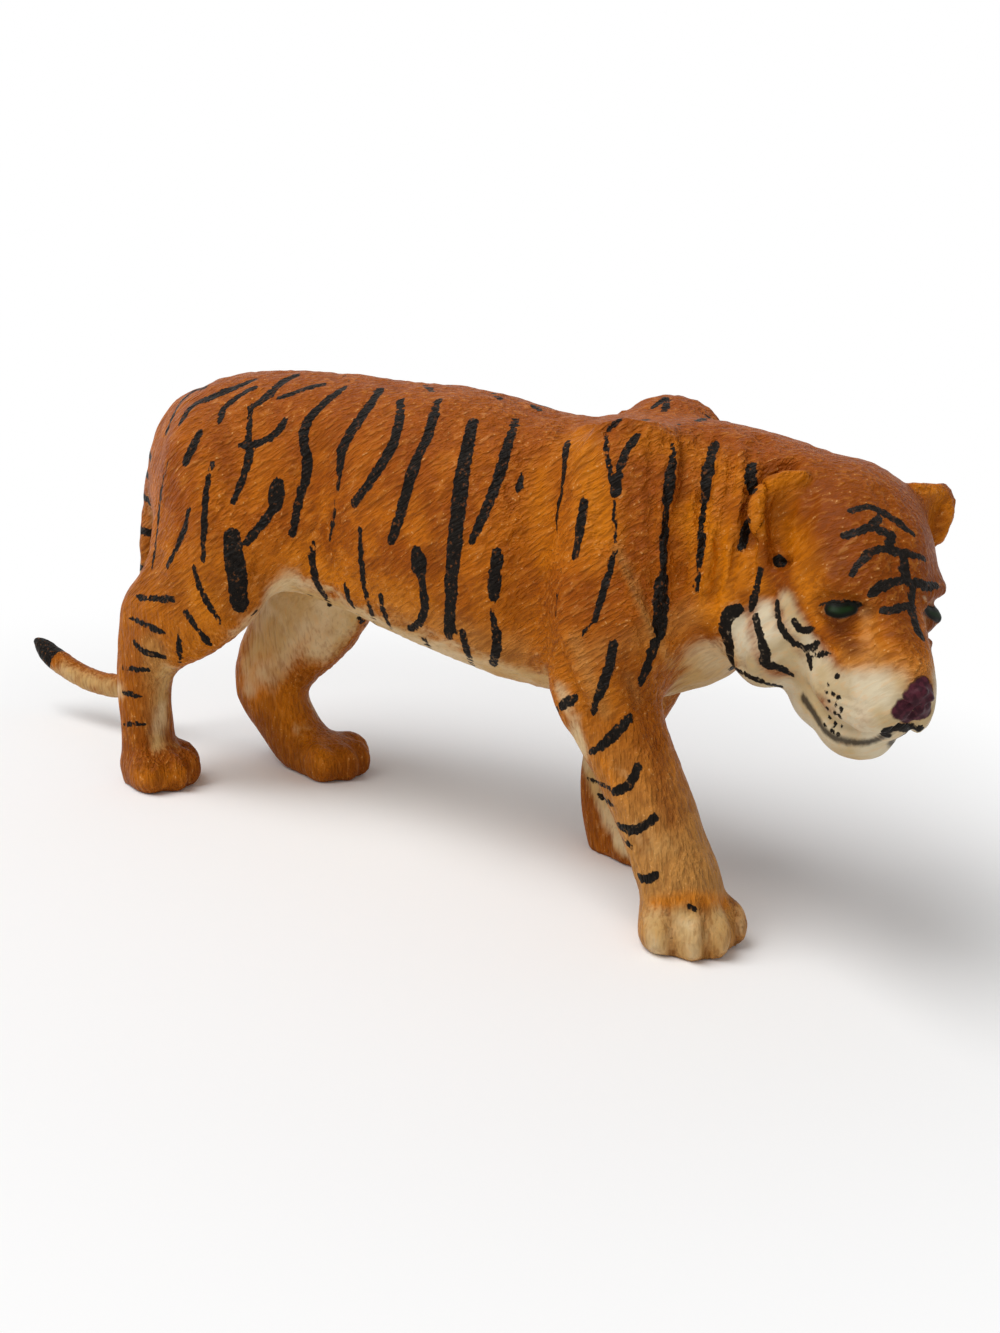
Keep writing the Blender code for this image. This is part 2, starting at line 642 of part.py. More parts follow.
def stood_on_ground(mesh):
    """Every paw is cut flat and closed at Z = 0, where the figurine stands."""
    work = bmesh.new()
    work.from_mesh(mesh)
    bmesh.ops.bisect_plane(
        work,
        geom=work.verts[:] + work.edges[:] + work.faces[:],
        plane_co=(0, 0, 0),
        plane_no=(0, 0, 1),
        dist=0.02,
        clear_inner=True,
    )
    for vertex in work.verts:
        if vertex.co.z < 0.03:
            vertex.co.z = 0
    rims = [edge for edge in work.edges if edge.is_boundary]
    bmesh.ops.holes_fill(work, edges=rims, sides=0)
    bmesh.ops.triangulate(work, faces=work.faces[:])
    bmesh.ops.recalc_face_normals(work, faces=work.faces[:])
    work.to_mesh(mesh)
    work.free()


def centred(mesh):
    """The middle of the footprint's bounding box on the origin, in metres."""
    points = read(mesh.vertices, "co", 3)
    middle = (points.min(0) + points.max(0)) / 2
    mesh.transform(Matrix.Scale(MM, 4) @ Matrix.Translation((-middle[0], -middle[1], 0)))


def painted_plastic():
    """Semi-matt paint over soft PVC, in the orange of the coat."""
    material = bpy.data.materials.new("painted_pvc")
    material.use_nodes = True
    surface = material.node_tree.nodes["Principled BSDF"]
    surface.inputs["Base Color"].default_value = (0.52, 0.18, 0.035, 1)
    surface.inputs["Roughness"].default_value = 0.45
    surface.inputs["IOR"].default_value = 1.5
    return material


def main():
    clear_scene()
    parts = new_collection("tiger_figurine")
    clay = Clay()
    add_trunk(clay)
    add_neck(clay)
    add_fore_legs(clay)
    add_hind_legs(clay)
    for at, yaw_deg, width in PAWS:
        add_paw(clay, at, yaw_deg, width)
    add_tail(clay)
    add_head(clay)
    tiger = fused(clay, "tiger_body")
    skin = Skin(tiger.data)
    soften(skin)
    sculpt_body(skin)
    # The body is eased a little more, and the head and the paws keep their edges
    off_head = np.clip((np.linalg.norm(skin.points - np.array(HEAD_CENTRE), axis=1) - 16) / 6, 0, 1)
    off_paws = np.clip((skin.points[:, 2] - PAW_HEIGHT - 1.6) / 4, 0, 1)
    skin.relax(4, 0.7 * (off_head * off_paws)[:, None])
    sculpt_head(skin)
    sculpt_paws(skin)
    skin.relax(1, 0.8)
    skin.normals()
    thinned(tiger, FINISHED_TRIANGLES)
    stood_on_ground(tiger.data)
    centred(tiger.data)
    tiger.data.materials.clear()
    tiger.data.materials.append(painted_plastic())
    bpy.context.scene.collection.objects.unlink(tiger)
    parts.objects.link(tiger)


main()
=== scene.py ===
import math

import bpy
import numpy as np
from mathutils import Matrix, Vector, noise
from mathutils.bvhtree import BVHTree
from mathutils.kdtree import KDTree


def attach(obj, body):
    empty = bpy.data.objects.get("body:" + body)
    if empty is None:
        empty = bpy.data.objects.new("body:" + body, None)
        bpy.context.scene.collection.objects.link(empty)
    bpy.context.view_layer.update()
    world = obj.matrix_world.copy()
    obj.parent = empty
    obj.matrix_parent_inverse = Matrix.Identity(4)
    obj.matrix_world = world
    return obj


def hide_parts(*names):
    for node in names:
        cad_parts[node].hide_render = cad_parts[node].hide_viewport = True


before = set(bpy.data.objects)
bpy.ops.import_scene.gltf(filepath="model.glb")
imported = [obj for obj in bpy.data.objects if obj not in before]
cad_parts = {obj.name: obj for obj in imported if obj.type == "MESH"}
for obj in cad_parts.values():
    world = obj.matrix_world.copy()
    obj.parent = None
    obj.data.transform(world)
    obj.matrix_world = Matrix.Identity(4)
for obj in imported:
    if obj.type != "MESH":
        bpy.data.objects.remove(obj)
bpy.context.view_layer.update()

# Camera
# The place that the photograph was taken from: in front of the right shoulder and a little
# above the back, close enough that the near fore paw looks larger than the hind ones.
MM = 0.001
FIGURE_AT = Vector((11.33, 1.24, 0))
CAMERA_AT = Vector((82.2, -147.6, 69.5)) + FIGURE_AT
CAMERA_YAW, CAMERA_PITCH, CAMERA_ROLL = (math.radians(angle) for angle in (28.23, 15.32, 3.9))
PHOTO_WIDTH, PHOTO_HEIGHT = 1000, 1333
FOCAL_PIXELS = 1404.3

ahead = Vector((
    -math.sin(CAMERA_YAW) * math.cos(CAMERA_PITCH),
    math.cos(CAMERA_YAW) * math.cos(CAMERA_PITCH),
    -math.sin(CAMERA_PITCH),
))
level = Vector((math.cos(CAMERA_YAW), math.sin(CAMERA_YAW), 0))
upright = level.cross(ahead)
right = level * math.cos(CAMERA_ROLL) + upright * math.sin(CAMERA_ROLL)
above = upright * math.cos(CAMERA_ROLL) - level * math.sin(CAMERA_ROLL)

camera_data = bpy.data.cameras.new("camera")
camera_data.sensor_width = 36.0
camera_data.lens = FOCAL_PIXELS / PHOTO_HEIGHT * camera_data.sensor_width
camera_data.clip_start = 0.01
camera = bpy.data.objects.new("camera", camera_data)
bpy.context.scene.collection.objects.link(camera)
facing = Matrix((right, above, -ahead)).transposed().to_4x4()
camera.matrix_world = Matrix.Translation(CAMERA_AT * MM) @ facing
bpy.context.scene.camera = camera

# Tiger, the moulding
# One solid casting of soft PVC from a two-part steel mould, with the paws, ears and tail in
# one with the body. The skin is a finer copy of the solid, with the carving worked into it.
SKIN_VOXEL = 0.55 * MM
WELD = 0.002 * MM
HEAD_AT = Vector((45.6, -5.4, 39.0)) + FIGURE_AT
HEAD_TURN = (
    Matrix.Rotation(math.radians(-47), 4, "Z")
    @ Matrix.Rotation(math.radians(10), 4, "Y")
    @ Matrix.Rotation(math.radians(-2), 4, "X")
)
MIDLINE = FIGURE_AT.y

# A line is laid with its corners cut this often, and its edge is worked out this far beyond it
CORNER_CUTS = 2
FRINGE = 1.6


def only(thing):
    """Leave one object selected and active."""
    bpy.ops.object.select_all(action="DESELECT")
    thing.select_set(True)
    bpy.context.view_layer.objects.active = thing


def finished(thing, kind, **settings):
    """Add a modifier and apply it."""
    only(thing)
    modifier = thing.modifiers.new(kind.lower(), kind)
    for name, value in settings.items():
        setattr(modifier, name, value)
    bpy.ops.object.modifier_apply(modifier=modifier.name)


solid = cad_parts["tiger_body"]
tiger = bpy.data.objects.new("tiger", solid.data.copy())
bpy.context.scene.collection.objects.link(tiger)
only(tiger)
bpy.ops.object.mode_set(mode="EDIT")
bpy.ops.mesh.select_all(action="SELECT")
bpy.ops.mesh.remove_doubles(threshold=WELD)
bpy.ops.object.mode_set(mode="OBJECT")
finished(tiger, "REMESH", mode="VOXEL", voxel_size=SKIN_VOXEL, use_smooth_shade=True)
finished(tiger, "SMOOTH", factor=0.5, iterations=6)

# The head carries the finest carving, so its faces are divided once more
FINE_AT = HEAD_AT + Vector((3.5, -4.0, -1.0))
FINE_REACH = 17.5
only(tiger)
bpy.ops.object.mode_set(mode="EDIT")
bpy.ops.mesh.select_mode(type="FACE")
bpy.ops.mesh.select_all(action="DESELECT")
bpy.ops.object.mode_set(mode="OBJECT")
for polygon in tiger.data.polygons:
    polygon.select = (polygon.center / MM - FINE_AT).length < FINE_REACH
bpy.ops.object.mode_set(mode="EDIT")
bpy.ops.mesh.subdivide(number_cuts=1, ngon=False)
bpy.ops.object.mode_set(mode="OBJECT")
finished(tiger, "SMOOTH", factor=0.5, iterations=2)


class Skin:
    """The moulding's surface in millimetres, for carving and painting along paths."""

    def __init__(self, thing):
        self.data = thing.data
        self.count = len(self.data.vertices)
        self.layers = {}
        self.read()

    def read(self):
        flat = np.empty(self.count * 3)
        self.data.vertices.foreach_get("co", flat)
        self.points = flat.reshape(-1, 3) / MM
        self.data.vertices.foreach_get("normal", flat)
        self.normals = flat.reshape(-1, 3).copy()
        polygons = [tuple(polygon.vertices) for polygon in self.data.polygons]
        vectors = [Vector(point) for point in self.points]
        self.tree = BVHTree.FromPolygons(vectors, polygons)
        self.near = KDTree(self.count)
        for index, point in enumerate(vectors):
            self.near.insert(point, index)
        self.near.balance()

    def write(self):
        self.data.vertices.foreach_set("co", (self.points * MM).ravel())
        self.data.update()
        self.read()

    def under(self, x, y):
        """The surface under a point of the photograph, or None where the point is beside it."""
        ray = right * (x - PHOTO_WIDTH / 2) + above * (PHOTO_HEIGHT / 2 - y) + ahead * FOCAL_PIXELS
        return self.tree.ray_cast(CAMERA_AT, ray.normalized())[0]

    def seen(self, path, step=5.0):
        """Points on the surface under a line drawn on the photograph, its corners rounded."""
        found = []
        for _ in range(CORNER_CUTS if len(path) > 2 else 0):
            cut = [path[0]]
            for (x0, y0), (x1, y1) in zip(path, path[1:]):
                cut.append((0.75 * x0 + 0.25 * x1, 0.75 * y0 + 0.25 * y1))
                cut.append((0.25 * x0 + 0.75 * x1, 0.25 * y0 + 0.75 * y1))
            path = cut + [path[-1]]
        for (x0, y0), (x1, y1) in zip(path, path[1:]):
            pieces = max(1, round(math.hypot(x1 - x0, y1 - y0) / step))
            for piece in range(pieces + 1):
                if piece == 0 and found:
                    continue
                x = x0 + (x1 - x0) * piece / pieces
                y = y0 + (y1 - y0) * piece / pieces
                hit = self.under(x, y)
                if hit is not None:
                    found.append(hit)
        return found

    def settled(self, points):
        """The nearest places on the surface."""
        return [self.tree.find_nearest(point)[0] for point in points]

    def reach(self, points, radius, taper=0.0):
        """How far inside a line of that half width each vertex lies, as indices and distances.

        With a taper, the line thins towards both ends.
        """
        best = {}
        last = max(1, len(points) - 1)
        for place, point in enumerate(points):
            along = place / last
            half = radius * (1 - taper + taper * math.sin(math.pi * (0.12 + 0.76 * along)) ** 0.8)
            for _, index, distance in self.near.find_range(point, half + FRINGE):
                inside = half - distance
                if inside > best.get(index, -99.0):
                    best[index] = inside
        if not best:
            return np.zeros(0, int), np.zeros(0)
        return np.fromiter(best.keys(), int), np.fromiter(best.values(), float)

    def carve(self, points, radius, depth):
        """Press a rounded groove along a line, or raise a ridge where the depth is negative."""
        index, inside = self.reach(points, radius)
        keep = inside > 0
        index, inside = index[keep], inside[keep]
        share = inside / radius
        self.points[index] -= self.normals[index] * (depth * share * share * (3 - 2 * share))[:, None]

    def layer(self, name, value=0.0):
        if name not in self.layers:
            self.layers[name] = np.full(self.count, value)
        return self.layers[name]

    def line(self, name, points, radius, taper=0.0):
        """Widen a painted layer by a line: its value is the depth inside the paint in mm."""
        layer = self.layer(name, -2.0)
        index, inside = self.reach(points, radius, taper)
        layer[index] = np.maximum(layer[index], inside)

    def dab(self, name, points, radius, strength=1.0):
        """Spray a soft patch along a line into a layer that runs from 0 to 1."""
        layer = self.layer(name, 0.0)
        best = {}
        for point in points:
            for _, index, distance in self.near.find_range(point, radius):
                share = 1 - distance / radius
                if share > best.get(index, 0.0):
                    best[index] = share
        if best:
            index = np.fromiter(best.keys(), int)
            share = np.fromiter(best.values(), float)
            amount = share * share * (3 - 2 * share) * abs(strength)
            if strength > 0:
                layer[index] = 1 - (1 - layer[index]) * (1 - amount)
            else:
                layer[index] *= 1 - amount

    def keep(self):
        for name, values in self.layers.items():
            attribute = self.data.attributes.new(name, "FLOAT", "POINT")
            attribute.data.foreach_set("value", values.astype(np.float32))


def head_place(forward, left, up):
    return HEAD_AT + (HEAD_TURN @ Vector((forward, left, up)))


skin = Skin(tiger)


def on_face(*places):
    """Points on the head from (forward, left, up) in its own frame, for both sides at once."""
    return [
        skin.settled([head_place(forward, side * left, up) for forward, left, up in places])
        for side in (-1, 1)
    ]


def across_face(points):
    """The same line on the other half of the head."""
    turned = []
    for point in points:
        local = HEAD_TURN.inverted() @ (point - HEAD_AT)
        turned.append(head_place(local.x, -local.y, local.z))
    return skin.settled(turned)


def near_half(points):
    """Those of the points that lie on the right half of the head."""
    return [point for point in points if (HEAD_TURN.inverted() @ (point - HEAD_AT)).y < 0.15]


# How far the left leg stands from where the right one does, by height above the ground
FORE_SHIFT = (
    (0, -16.6), (6, -17.4), (10, -15.7), (16, -12.0), (21, -7.8), (27, -3.1), (34, -1.6), (42, -1.0), (48, 0),
)
HIND_SHIFT = (
    (0, 15.2), (6, 9.4), (9, 7.1), (12, 6.0), (16, 9.2), (21, 9.6), (26, 7.4), (31, 6.4), (38, 4.0), (46, 0),
)
WAIST_X = 8
KNEE_HEIGHT = 24


def other_side(points):
    """The same line on the left side, which follows the left legs where they stand."""
    turned = []
    for point in points:
        x, y, z = point
        table, middle, lean = (FORE_SHIFT, 23.0, 0.45) if x > WAIST_X else (HIND_SHIFT, -36.0, -0.35)
        shift = float(np.interp(z, [row[0] for row in table], [row[1] for row in table]))
        off_leg = abs(x - FIGURE_AT.x - middle - max(0.0, KNEE_HEIGHT - z) * lean)
        shift *= min(1.0, max(0.0, (13 - off_leg) / 5))
        turned.append(Vector((x + shift, 2 * MIDLINE - y, z)))
    return skin.settled(turned)


# Folds and hollows, as lines on the photograph, each with its half width and depth in mm.
# A negative depth raises a ridge.
FOLDS = (
    # the hollow behind the shoulder, and the rim of the shoulder blade
    (((530, 470), (534, 520), (530, 570), (524, 620)), 4.2, 0.55),
    (((566, 425), (556, 470), (548, 530)), 2.0, 0.25),
    (((606, 430), (622, 427), (640, 429)), 0.8, 0.35),
    (((580, 430), (600, 425), (622, 422), (642, 424)), 0.9, -0.25),
    (((614, 548), (628, 578), (640, 606), (653, 636)), 0.5, -0.28),
    (((606, 548), (620, 580), (632, 610), (644, 640)), 0.9, 0.25),
    (((624, 546), (636, 572), (650, 604)), 0.9, 0.15),
    # muscle of the shoulder and the skin over the neck
    (((590, 450), (598, 500), (600, 540)), 1.6, 0.18),
    (((640, 460), (632, 500), (626, 540)), 1.1, 0.25),
    (((656, 450), (650, 500), (646, 550), (652, 590)), 1.3, 0.3),
    (((690, 450), (682, 490), (678, 540), (676, 590)), 1.5, 0.4),
    (((698, 450), (692, 500), (686, 550)), 0.8, -0.2),
    (((712, 470), (706, 510), (700, 560), (694, 600)), 1.2, 0.35),
    (((722, 450), (716, 490), (712, 540), (706, 590)), 0.9, -0.25),
    (((732, 460), (728, 500), (720, 550), (712, 600)), 1.3, 0.45),
    (((744, 450), (740, 490), (734, 530), (728, 580)), 0.9, -0.25),
    # flank, belly and thigh
    (((318, 440), (310, 480), (312, 540), (330, 590)), 3.6, 0.3),
    (((262, 560), (250, 590), (232, 620)), 1.6, 0.3),
    (((430, 560), (470, 600), (500, 640)), 1.8, 0.2),
    (((420, 440), (404, 500), (400, 560)), 2.2, 0.16),
    (((480, 440), (470, 500), (468, 560)), 2.2, 0.16),
    (((380, 600), (440, 630), (500, 655)), 1.6, -0.15),
    (((258, 392), (250, 406), (246, 420)), 1.2, 0.2),
    # clefts between the toes of the fore paw
    (((668, 906), (671, 930), (672, 954)), 0.8, 0.4),
    (((702, 903), (706, 930), (707, 956)), 0.8, 0.4),
    (((733, 898), (738, 925), (738, 946)), 0.8, 0.35),
    # elbow, fore leg and hock
    (((560, 650), (575, 690), (590, 715)), 1.6, 0.35),
    (((566, 645), (580, 680), (596, 705)), 1.6, -0.3),
    (((625, 660), (640, 700), (655, 740)), 1.6, 0.25),
    (((612, 740), (628, 780), (642, 820)), 1.2, 0.18),
    (((640, 760), (655, 800), (668, 850)), 1.2, -0.15),
    (((150, 640), (165, 668), (178, 690)), 1.3, 0.25),
    (((160, 700), (150, 740), (152, 765)), 0.9, 0.15),
)
FOLD_DEEPENING = 1.5
for path, half_width, depth in FOLDS:
    line = skin.seen(path)
    for side in (line, other_side(line)):
        skin.carve(side, half_width, FOLD_DEEPENING * depth)
skin.write()

# Locks of fur on the neck, wavy and about 1.3 mm apart, fading into the shoulder
LOCK_COUNT = 11
LOCK_PITCH_PIXELS = 12
LOCK_HALF_WIDTH, LOCK_DEPTH = 0.75, 0.45
for lock in range(LOCK_COUNT):
    start = 650 + lock * LOCK_PITCH_PIXELS
    path = [
        (start - drop * 0.13 + 3.5 * math.sin(drop / 17 + lock * 1.7), 436 + 3 * (lock % 3) + drop)
        for drop in range(0, 150 - 30 * (lock % 2), 10)
    ]
    line = skin.seen(path)
    for side in (line, other_side(line)):
        skin.carve(side, LOCK_HALF_WIDTH, LOCK_DEPTH)
skin.write()

# Face. The eyes sit under folded lids, the muzzle is full and the nose leather has nostrils
FACE_LINES = (
    # the crease over the eye, the lid under it, and the tear line to the nose
    (((10.4, 3.2, 4.0), (8.9, 4.4, 4.5), (7.4, 5.8, 4.3), (6.0, 6.9, 3.4)), 0.8, 0.42),
    (((10.2, 3.4, 5.2), (8.6, 4.4, 5.8), (6.6, 6.0, 5.6)), 1.1, -0.3),
    (((10.0, 3.6, 1.9), (8.8, 5.0, 1.2), (7.2, 6.4, 1.4)), 0.7, 0.32),
    (((9.8, 3.8, 0.9), (8.6, 5.2, 0.2), (6.8, 6.7, 0.4)), 0.8, -0.25),
    (((10.6, 3.2, 2.6), (12.0, 2.9, 1.0), (13.4, 2.8, -0.4)), 0.8, 0.3),
    (((8.9, 4.5, 2.8), (7.9, 5.4, 2.8)), 1.2, -0.3),
    # the groove between brows, and the sides of the bridge
    (((7.6, 0.6, 7.4), (4.4, 0.5, 10.4), (0.6, 0.4, 12.4)), 0.8, 0.22),
    (((14.0, 2.6, 1.2), (16.0, 2.2, -0.2)), 0.7, 0.18),
    # nose leather and nostrils
    (((17.6, 0.1, -0.6), (17.8, 1.1, -1.0), (17.4, 1.8, -1.8)), 0.6, -0.22),
    (((17.7, 1.15, -2.2), (17.2, 1.75, -1.9)), 0.55, 0.5),
    (((18.2, 0.0, -2.6), (17.8, 0.0, -4.2)), 0.5, 0.35),
    # lips, the corner of the mouth, and the chin
    ((
        (17.4, 0.6, -5.0), (16.2, 1.6, -6.6), (13.6, 3.0, -7.8), (10.6, 4.2, -8.2),
        (8.0, 4.9, -7.6), (6.2, 5.6, -6.4),
    ), 0.6, 0.4),
    (((16.2, 1.6, -5.6), (13.4, 3.3, -6.6), (10.0, 4.6, -6.6)), 0.9, -0.22),
    # whisker pad furrows and the cheek ruff
    (((14.6, 3.4, -3.6), (11.6, 4.8, -4.4), (8.8, 5.8, -4.6)), 0.45, 0.14),
    (((14.4, 3.5, -4.6), (11.4, 4.9, -5.4), (9.0, 5.6, -5.7)), 0.45, 0.14),
    (((4.6, 7.2, -1.6), (2.8, 8.2, -4.4), (1.4, 8.4, -7.6)), 0.9, 0.3),
    (((2.6, 8.2, 0.4), (0.8, 9.2, -3.0), (-0.6, 9.0, -7.0)), 0.9, 0.32),
    (((0.6, 9.0, 1.6), (-1.4, 10.0, -2.4), (-2.6, 9.6, -7.0)), 0.9, 0.3),
    # inside of the ear, and the groove that lifts its edge off the neck
    (((0.6, 8.4, 6.0), (-0.6, 9.0, 8.6), (-1.8, 9.8, 10.8)), 1.3, 0.35),
    (((1.0, 7.8, 5.2), (0.2, 8.8, 4.8)), 1.0, 0.7),
)
for places, half_width, depth in FACE_LINES:
    for line in on_face(*places):
        dense = []
        for first, second in zip(line, line[1:]):
            dense += [first.lerp(second, share / 8) for share in range(8)]
        skin.carve(dense + [line[-1]], half_width, depth)

# The near ear, as lines on the photograph: the groove behind its edge, the edge, the hollow
EAR_LINES = (
    (((750, 545), (746, 518), (751, 492), (768, 472), (792, 463)), 1.4, 1.2),
    (((759, 528), (757, 508), (763, 490), (782, 479), (803, 478)), 1.2, -1.0),
    (((786, 498), (781, 512), (778, 538)), 2.0, 0.7),
    (((806, 484), (812, 500), (806, 522)), 1.4, 0.3),
    (((776, 548), (779, 560)), 1.2, 0.5),
)
FAR_EAR_SHARE = 0.4
for path, half_width, depth in EAR_LINES:
    line = skin.seen(path, step=3.0)
    skin.carve(line, half_width, depth)
    skin.carve(across_face(line), half_width, depth * FAR_EAR_SHARE)
skin.write()


def stretched(points, direction, across, along):
    """Points measured across and along a hair direction, each in its own unit."""
    direction = np.array(Vector(direction).normalized())
    run = points @ direction
    return (points - run[:, None] * direction) / across + (run / along)[:, None] * direction


def noisy(points):
    return np.array([noise.noise(Vector(point)) for point in points])


def eased(values, start, end):
    """0 at start, 1 at end, and smooth between them."""
    share = np.clip((values - start) / (end - start), 0, 1)
    return share * share * (3 - 2 * share)


# Carved coat: shallow dents between locks, back and down on the trunk and down the legs. The
# face keeps its own carving, and the toes stay smoother
COAT_DEPTH, LUMP_HEIGHT = 0.17, 0.16
TRUNK_HAIR, LEG_HAIR = (-0.62, 0, -0.78), (0.15, 0, -1)
heights = skin.points[:, 2]
across = skin.points[:, 1] - MIDLINE
lengths = skin.points[:, 0] - FIGURE_AT.x
from_head = np.linalg.norm(skin.points - np.array(HEAD_AT), axis=1)
legs = 1 - eased(heights, 22, 28)
face = 1 - eased(from_head, 13, 18)
legs *= 1 - face
coat = noisy(stretched(skin.points, TRUNK_HAIR, 1.0, 3.6)) * (1 - legs)
coat += noisy(stretched(skin.points, LEG_HAIR, 1.0, 3.6) + 31.7) * legs
lumps = noisy(skin.points / 5.0 + 7.3)
toes = eased(heights, 2, 9)
swell = (coat * COAT_DEPTH + lumps * LUMP_HEIGHT) * (1 - face) * (0.25 + 0.75 * toes)
skin.points += skin.normals * swell[:, None]
skin.points[:, 2] = np.maximum(skin.points[:, 2], 0.0)
skin.write()

# Tiger, the paint
# The bare moulding is cream. Orange is sprayed over the back and flanks and rubbed back at the
# belly, then a painter pulls the stripes by brush, from the spine down, each one rough edged.

# Stripes of the right side as lines on the photograph: the points, then the half width in mm
# before the brush spreads it
STRIPES = {
    "rump": (
        (((206, 387), (191, 392), (177, 406), (166, 433)), 0.5),
        (((254, 380), (227, 391), (212, 397), (191, 405), (181, 422)), 0.6),
        (((255, 387), (242, 394), (224, 407), (219, 422)), 0.5),
        (((297, 375), (280, 383), (268, 396), (254, 405)), 0.6),
        (((326, 384), (309, 387), (279, 398)), 0.45),
        (((251, 406), (248, 437), (250, 463), (233, 502)), 0.5),
        (((241, 445), (263, 443), (278, 432), (285, 420)), 0.5),
        (((200, 432), (192, 448), (185, 463)), 0.6),
        (((168, 461), (161, 489), (157, 534), (152, 569)), 0.3),
        (((212, 463), (205, 493), (203, 560)), 0.45),
        (((189, 510), (183, 536), (167, 567)), 0.42),
    ),
    "flank": (
        ((
            (345, 387), (322, 404), (306, 422), (302, 441), (310, 461), (303, 489), (297, 510), (292, 534),
        ), 0.62),
        (((380, 390), (365, 413), (343, 443), (339, 471)), 0.72),
        (((341, 465), (336, 500), (330, 541)), 0.3),
        (((401, 401), (398, 430), (390, 452), (371, 480), (354, 504)), 0.66),
        (((438, 401), (428, 437), (414, 465), (402, 510), (391, 541)), 0.68),
        (((472, 423), (461, 480), (452, 560), (449, 636)), 0.85),
        (((516, 420), (506, 450), (495, 490), (472, 541)), 0.6),
        (((521, 475), (519, 492)), 0.35),
        (((278, 484), (275, 506)), 1.0),
        (((270, 513), (259, 528), (246, 543)), 0.55),
        (((232, 536), (234, 556), (237, 584), (240, 606)), 1.2),
        (((313, 543), (312, 567), (317, 584), (330, 605)), 0.5),
        (((345, 584), (348, 599), (354, 608)), 0.4),
        (((357, 614), (365, 625)), 0.42),
        (((360, 530), (361, 562), (365, 593), (375, 624)), 0.42),
        (((381, 595), (384, 617), (400, 642)), 0.42),
        (((416, 552), (420, 572)), 0.95),
        (((420, 569), (425, 599), (423, 621), (410, 629)), 0.55),
        (((424, 638), (428, 647), (435, 652)), 0.35),
        (((462, 632), (466, 650), (473, 666)), 0.5),
        (((497, 552), (495, 575), (494, 598)), 0.7),
        (((494, 600), (491, 618)), 0.2),
        (((493, 618), (498, 640), (493, 665)), 0.55),
        (((345, 376), (347, 381)), 0.4),
        (((400, 381), (402, 386)), 0.4),
        (((425, 386), (432, 391)), 0.5),
        (((488, 388), (500, 399)), 0.5),
        (((532, 405), (540, 410)), 0.5),
    ),
    "thigh": (
        (((194, 567), (200, 591), (220, 623)), 0.42),
        (((185, 611), (196, 627), (210, 645)), 0.46),
        (((179, 633), (180, 662)), 0.4),
        (((138, 597), (159, 599), (174, 599)), 0.45),
        (((130, 618), (149, 626), (165, 634)), 0.45),
        (((133, 642), (143, 652), (165, 657)), 0.45),
        (((123, 668), (148, 670)), 0.42),
        (((124, 692), (141, 697)), 0.42),
        (((124, 724), (144, 724)), 0.36),
    ),
    "shoulder": (
        (((568, 442), (565, 460)), 0.5),
        (((565, 456), (564, 474), (561, 498)), 0.5),
        (((561, 498), (557, 512), (557, 530)), 0.45),
        (((558, 534), (557, 545)), 0.16),
        (((561, 566), (562, 572)), 0.14),
        (((561, 582), (561, 588)), 0.14),
        (((557, 594), (556, 618)), 0.17),
        (((584, 500), (581, 521), (575, 556)), 0.55),
        (((622, 418), (609, 428), (605, 440), (608, 462), (614, 490), (615, 540)), 0.32),
        (((638, 434), (626, 450), (619, 470), (617, 494)), 0.45),
        (((615, 551), (605, 586), (595, 620)), 0.42),
        (((588, 626), (583, 636)), 0.25),
        (((673, 445), (672, 472)), 0.3),
        (((672, 464), (669, 484), (667, 504)), 0.56),
        (((667, 498), (664, 540), (664, 585)), 0.42),
        (((663, 580), (661, 605), (659, 634)), 0.85),
        (((659, 626), (652, 655), (640, 684)), 0.5),
        (((715, 445), (708, 467), (704, 501)), 0.62),
        (((704, 496), (702, 545), (696, 590)), 0.42),
        (((753, 465), (749, 480), (753, 492)), 0.6),
        (((749, 521), (741, 548)), 0.55),
        (((614, 642), (609, 668), (593, 712)), 0.55),
        (((576, 698), (557, 709)), 0.55),
        (((652, 408), (665, 399)), 0.45),
        (((668, 401), (664, 411)), 0.45),
        (((708, 417), (698, 421)), 0.5),
    ),
    "fore_leg": (
        (((630, 717), (615, 734), (601, 747)), 0.55),
        (((601, 747), (587, 754)), 0.35),
        (((638, 765), (633, 782), (614, 793)), 0.55),
        (((614, 791), (599, 783), (588, 779)), 0.35),
        (((599, 795), (612, 805)), 0.4),
        (((655, 817), (643, 827), (632, 831), (618, 826)), 0.52),
        (((618, 825), (612, 817)), 0.25),
        (((622, 837), (632, 848)), 0.3),
        (((656, 875), (645, 881), (639, 877)), 0.5),
        (((688, 906), (696, 909)), 0.3),
    ),
    "forehead": (
        (((851, 511), (867, 505), (886, 514), (900, 524), (913, 534)), 0.34),
        (((844, 536), (864, 530), (876, 524), (879, 517)), 0.38),
        (((879, 530), (893, 534), (888, 546)), 0.38),
        (((852, 574), (862, 558), (879, 548), (893, 551), (910, 554), (924, 559)), 0.34),
        (((903, 556), (904, 575), (911, 585)), 0.42),
        (((870, 594), (884, 585), (903, 580)), 0.38),
        (((882, 610), (891, 611), (908, 605)), 0.34),
        (((913, 585), (911, 609), (916, 626), (922, 638)), 0.36),
        (((915, 581), (925, 587), (937, 585)), 0.34),
    ),
    "cheek": (
        (((739, 609), (727, 614), (725, 633), (731, 653), (733, 668)), 0.7),
        (((761, 569), (755, 590), (751, 611)), 0.36),
        (((755, 616), (760, 636), (766, 653), (764, 665), (778, 667), (791, 674)), 0.52),
        (((777, 603), (779, 624), (791, 643), (811, 650), (818, 643)), 0.38),
        (((808, 653), (811, 668)), 0.36),
        (((812, 656), (830, 653)), 0.28),
        (((793, 620), (801, 632), (814, 628)), 0.34),
        (((737, 670), (760, 682), (781, 687)), 0.4),
        (((820, 604), (840, 603), (862, 604)), 0.3),
    ),
}
SPREAD, FOREHEAD_SPREAD = 1.15, 1.42
